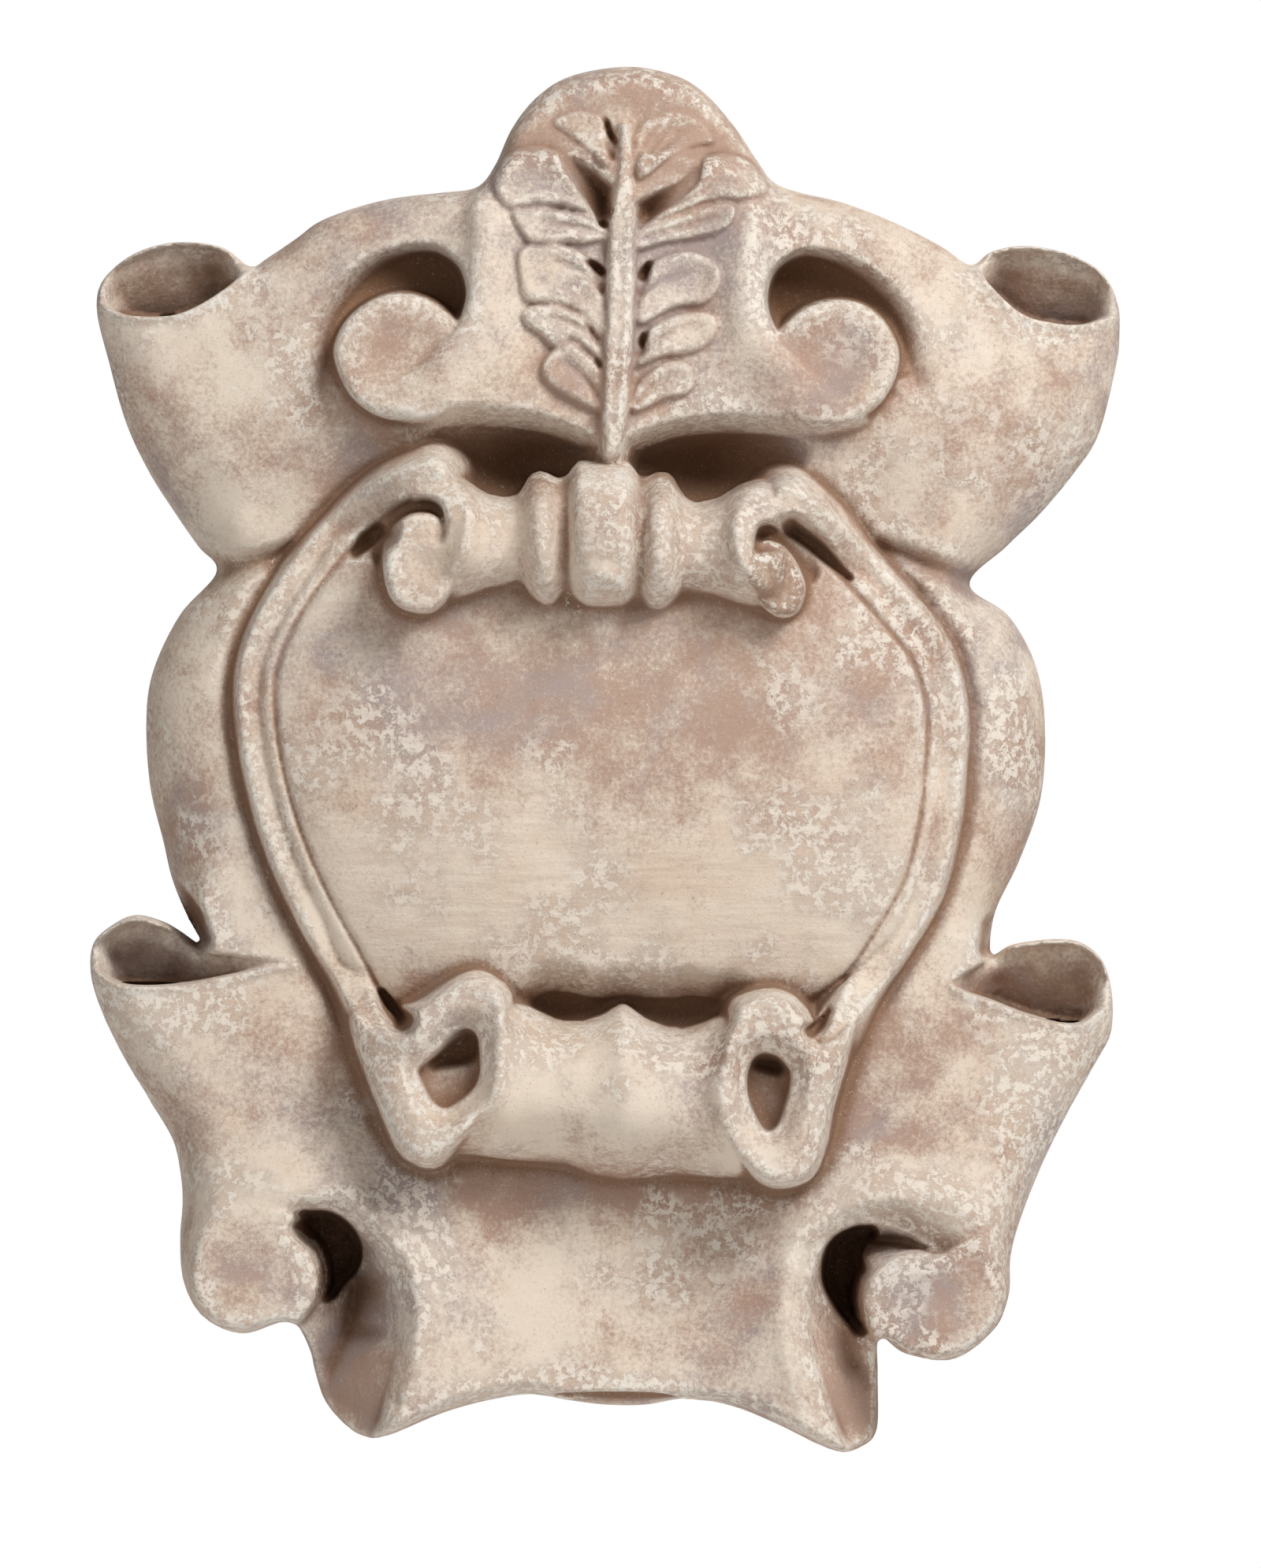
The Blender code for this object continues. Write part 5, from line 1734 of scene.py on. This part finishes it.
@dataclass(frozen=True)
class Limewash:
    """Chalky limewash worn down to fired clay, with dirt and painted shade in the hollows and lilac grey
    bloom.
    """

    cream: Colour = (0.76, 0.655, 0.54, 1)
    ochre: Colour = (0.68, 0.525, 0.385, 1)
    tan: Colour = (0.465, 0.325, 0.248, 1)
    rose: Colour = (0.425, 0.282, 0.216, 1)
    brown: Colour = (0.225, 0.120, 0.064, 1)
    shade_and_grime_black: Colour = (0.050, 0.020, 0.011, 1)
    bloom: Colour = (0.385, 0.325, 0.315, 1)
    white: Colour = (0.82, 0.77, 0.70, 1)

    def dress(self, material: bpy.types.Material) -> None:
        """Builds the material's nodes.

        Args:
            material: The material.
        """
        nodes = Nodes(material)

        # Noises and marks that several layers share; the hollow mask is used to paint shade into recesses
        wide = nodes.noise(6.5, 4.0, 0.55, 3.0) - 0.5
        patch = nodes.noise(30.0, 5.0, 0.6, 7.0, distortion=0.3) - 0.5
        speck = nodes.noise(330.0, 6.0, 0.72, 1.0) - 0.5
        ridge = (nodes.mark("fine") * -0.55 + nodes.mark("middle") * -0.3).math("MINIMUM", 0.42).clamped()
        hollow = nodes.mark("middle") * 0.5 + nodes.mark("fine") * 0.45 + nodes.mark("broad") * 0.4
        hollow = hollow.clamped()

        # Bare clay with its bloom, and the wash that covers it
        clay = nodes.mix((wide * 2.4 + patch * 1.2 + 0.5).clamped(), self.rose, self.tan)
        bloom = nodes.noise(10.0, 6.0, 0.6, 23.0, distortion=0.4).between(0.47, 0.66)
        clay = nodes.mix(bloom * 0.8, clay, self.bloom)
        yellowed = nodes.noise(13.0, 5.0, 0.6, 37.0).between(0.5, 0.72)
        cream = nodes.mix(yellowed * 0.55, self.cream, self.ochre)
        # Less wash shows in the hollows and where the dirt and shade mark is high, which paints shade there
        cover = wide * 1.1 + patch * 1.9 + speck * 1.9 + ridge * 0.6 - hollow * 0.8
        cover = cover - nodes.mark("dirt_and_shade") * 0.8
        cover = cover + nodes.mark("brushed") * 0.02 + nodes.mark("tone") * 1.7 + 0.1
        colour = nodes.mix(cover.between(-0.5, 0.45) * 0.93, clay, cream)

        # Places where the wash comes off in flakes
        loose = nodes.noise(11.0, 5.0, 0.6, 71.0) + nodes.mark("tone") * 0.2 + ridge * 0.5
        loose = loose.between(0.48, 0.6)
        loose = loose * (1.0 - nodes.mark("dirt_and_shade") * 2.5).clamped()
        flake = (nodes.noise(150.0, 8.0, 0.75, 83.0, distortion=0.3) + speck * 0.15).between(0.485, 0.515)
        colour = nodes.mix(loose * 0.4, colour, clay)
        colour = nodes.mix(loose * flake * 0.85, colour, nodes.mix(0.5, self.cream, self.white))

        # Strokes of the brush over the field
        streaks = nodes.noise(70.0, 6.0, 0.75, 2.0, stretch=(0.2, 1.0, 3.0)).between(0.36, 0.66)
        colour = nodes.mix(nodes.mark("brushed") * streaks * 0.3, colour, self.tan)

        # Painted shade and dirt: a brown haze in the hollows, where shade falls, then brown and near black
        # where the dirt and shade mark is high
        grain = nodes.noise(520.0, 4.0, 0.7, 29.0)
        grime_and_shade = (hollow * 1.25 + (grain - 0.5) * 1.1 + patch * 0.7 - 0.12).clamped()
        colour = nodes.mix(grime_and_shade * hollow.between(0.06, 0.7) * 0.8, colour, self.brown)
        dirt_and_shade = nodes.mark("dirt_and_shade") + (nodes.noise(110.0, 6.0, 0.7, 17.0) - 0.5) * 0.5
        colour = nodes.mix(dirt_and_shade.between(0.1, 0.72) * 0.86, colour, self.brown)
        colour = nodes.mix(dirt_and_shade.between(0.62, 1.0) * 0.9, colour, self.shade_and_grime_black)

        # Rubbed ridges, and pale and dark specks
        worn = (ridge + speck * 2.2 + patch * 1.6 + wide * 0.6).between(0.42, 0.7)
        colour = nodes.mix(worn * 0.75, colour, self.white)
        light = nodes.noise(640.0, 4.0, 0.7, 19.0).between(0.6, 0.68)
        colour = nodes.mix(light * 0.42, colour, self.white)
        dark = grain.between(0.6, 0.7)
        colour = nodes.mix(dark * 0.36, colour, self.brown)

        # The back, plain clay that was scraped and splashed
        plain = nodes.mix(nodes.noise(14.0, 5.0, 0.6, 41.0).between(0.3, 0.7), self.tan, self.rose)
        scrape = nodes.noise(130.0, 4.0, 0.7, 43.0, stretch=(1.0, 1.0, 0.25))
        plain = nodes.mix(scrape.between(0.35, 0.7) * 0.45, plain, self.brown)
        stain = nodes.noise(9.0, 7.0, 0.65, 47.0, distortion=0.5).between(0.52, 0.66)
        plain = nodes.mix(stain * 0.5, plain, self.cream)
        colour = nodes.mix(nodes.mark("rear").between(0.35, 0.9), colour, plain)

        # Fine relief and sheen
        strokes = nodes.noise(190.0, 5.0, 0.65, 59.0, stretch=(0.4, 1.0, 1.3))
        relief = speck * 0.9 + grain * 0.5 + strokes * 0.8 + loose * flake * 0.3 - dark * 0.3
        bump = nodes.add("ShaderNodeBump", {}, {"Strength": 0.6, "Distance": 0.0012, "Height": relief})
        rough = nodes.noise(60.0, 3.0, 0.5, 61.0) * 0.1 + 0.84 + nodes.mark("dirt_and_shade") * 0.05
        shader = nodes.add("ShaderNodeBsdfPrincipled", {}, {
            "Base Color": colour, "Roughness": rough, "Normal": bump, "Specular IOR Level": 0.2})
        output = nodes.tree.nodes.new("ShaderNodeOutputMaterial")
        nodes.tree.links.new(shader.socket, output.inputs["Surface"])


@dataclass(frozen=True)
class Lamp:
    """One soft lamp that points at the panel, with the width of its diffuser and its power in watts."""

    name: str
    place: Point
    size: float
    power: float

    def hang(self) -> None:
        """Adds the lamp to the scene."""
        light = bpy.data.lights.new(self.name, "AREA")
        light.shape = "SQUARE"
        light.size = self.size
        light.energy = self.power
        lamp = bpy.data.objects.new(self.name, light)
        lamp.location = self.place
        lamp.rotation_euler = (-Vector(self.place)).to_track_quat("-Z", "Y").to_euler()
        bpy.context.scene.collection.objects.link(lamp)


@dataclass(frozen=True)
class Studio:
    """Pale floor, soft light and the camera of the photograph, in metres, and its sensor in millimetres."""

    distance: float = 9.0
    sensor: float = 36.0
    relief_middle: float = 0.1
    floor_drop: float = 0.55
    floor_size: float = 7.0
    floor_forward: float = 1.2
    floor_colour: Colour = (0.85, 0.85, 0.85, 1)
    floor_roughness: float = 0.9
    lamps: tuple[Lamp, ...] = (
        Lamp("key", (1.7, -2.6, 2.3), size=1.5, power=128.0),
        Lamp("fill", (-2.6, -2.8, 0.4), size=2.2, power=14.0),
        Lamp("back_fill", (0.6, 3.2, 1.6), size=2.4, power=76.8),
    )
    ambient: Point = (0.30, 0.297, 0.291)
    backdrop: Point = (1.0, 1.0, 1.0)

    def floor(self, panel: Panel) -> None:
        """Lays the pale floor well below the hanging panel.

        Args:
            panel: The panel, already built.
        """
        bpy.ops.object.select_all(action="DESELECT")
        height = panel.low.z - self.floor_drop
        bpy.ops.mesh.primitive_plane_add(size=self.floor_size, location=(0, -self.floor_forward, height))
        floor = bpy.context.object
        floor.name = "studio_floor"
        material = bpy.data.materials.new("studio_floor")
        material.use_nodes = True
        shader = material.node_tree.nodes["Principled BSDF"]
        shader.inputs["Base Color"].default_value = self.floor_colour
        shader.inputs["Roughness"].default_value = self.floor_roughness
        floor.data.materials.append(material)

    def world(self) -> None:
        """Sets an even pale surround."""
        world = bpy.data.worlds.new("studio")
        bpy.context.scene.world = world
        world.use_nodes = True
        tree = world.node_tree
        tree.nodes.clear()
        seen = tree.nodes.new("ShaderNodeBackground")
        seen.inputs["Color"].default_value = (*self.backdrop, 1)
        lit = tree.nodes.new("ShaderNodeBackground")
        lit.inputs["Color"].default_value = (*self.ambient, 1)
        path = tree.nodes.new("ShaderNodeLightPath")
        mix = tree.nodes.new("ShaderNodeMixShader")
        output = tree.nodes.new("ShaderNodeOutputWorld")
        tree.links.new(path.outputs["Is Camera Ray"], mix.inputs[0])
        tree.links.new(lit.outputs[0], mix.inputs[1])
        tree.links.new(seen.outputs[0], mix.inputs[2])
        tree.links.new(mix.outputs[0], output.inputs["Surface"])

    def camera(self, panel: Panel) -> None:
        """Sets the camera square on, so that the photograph's frame fits around the panel.

        Args:
            panel: The panel, already built.
        """
        data = bpy.data.cameras.new("photograph")
        data.type = "PERSP"
        data.sensor_fit = "HORIZONTAL"
        data.sensor_width = self.sensor
        width = FRAME_WIDTH * panel.unit
        data.lens = data.sensor_width * (self.distance - self.relief_middle) / width
        camera = bpy.data.objects.new("photograph", data)
        right = (FRAME_WIDTH / 2 - MIDDLE_X) * panel.unit
        up = (MIDDLE_Y - FRAME_HEIGHT / 2) * panel.unit
        camera.location = (right, -self.distance, up)
        camera.rotation_euler = (math.pi / 2, 0, 0)
        bpy.context.scene.collection.objects.link(camera)
        bpy.context.scene.camera = camera

    def build(self, panel: Panel) -> None:
        """Sets up the studio around the panel.

        Args:
            panel: The panel, already built.
        """
        self.floor(panel)
        for lamp in self.lamps:
            lamp.hang()
        self.world()
        self.camera(panel)
        bpy.context.scene.view_settings.view_transform = "Standard"


def main() -> None:
    """Models the panel, dresses it and sets up the studio."""
    logging.basicConfig(level=logging.INFO, format="%(message)s")
    panel = Panel(Grain.FULL)
    piece = panel.build()
    material = bpy.data.materials.new(SLOT)
    Limewash().dress(material)
    piece.data.materials.clear()
    piece.data.materials.append(material)
    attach(piece, "root")
    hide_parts(NODE)
    piece.data.calc_loop_triangles()
    LOG.info("%s: %d triangles", piece.name, len(piece.data.loop_triangles))
    Studio().build(panel)


if __name__ == "__main__":
    main()
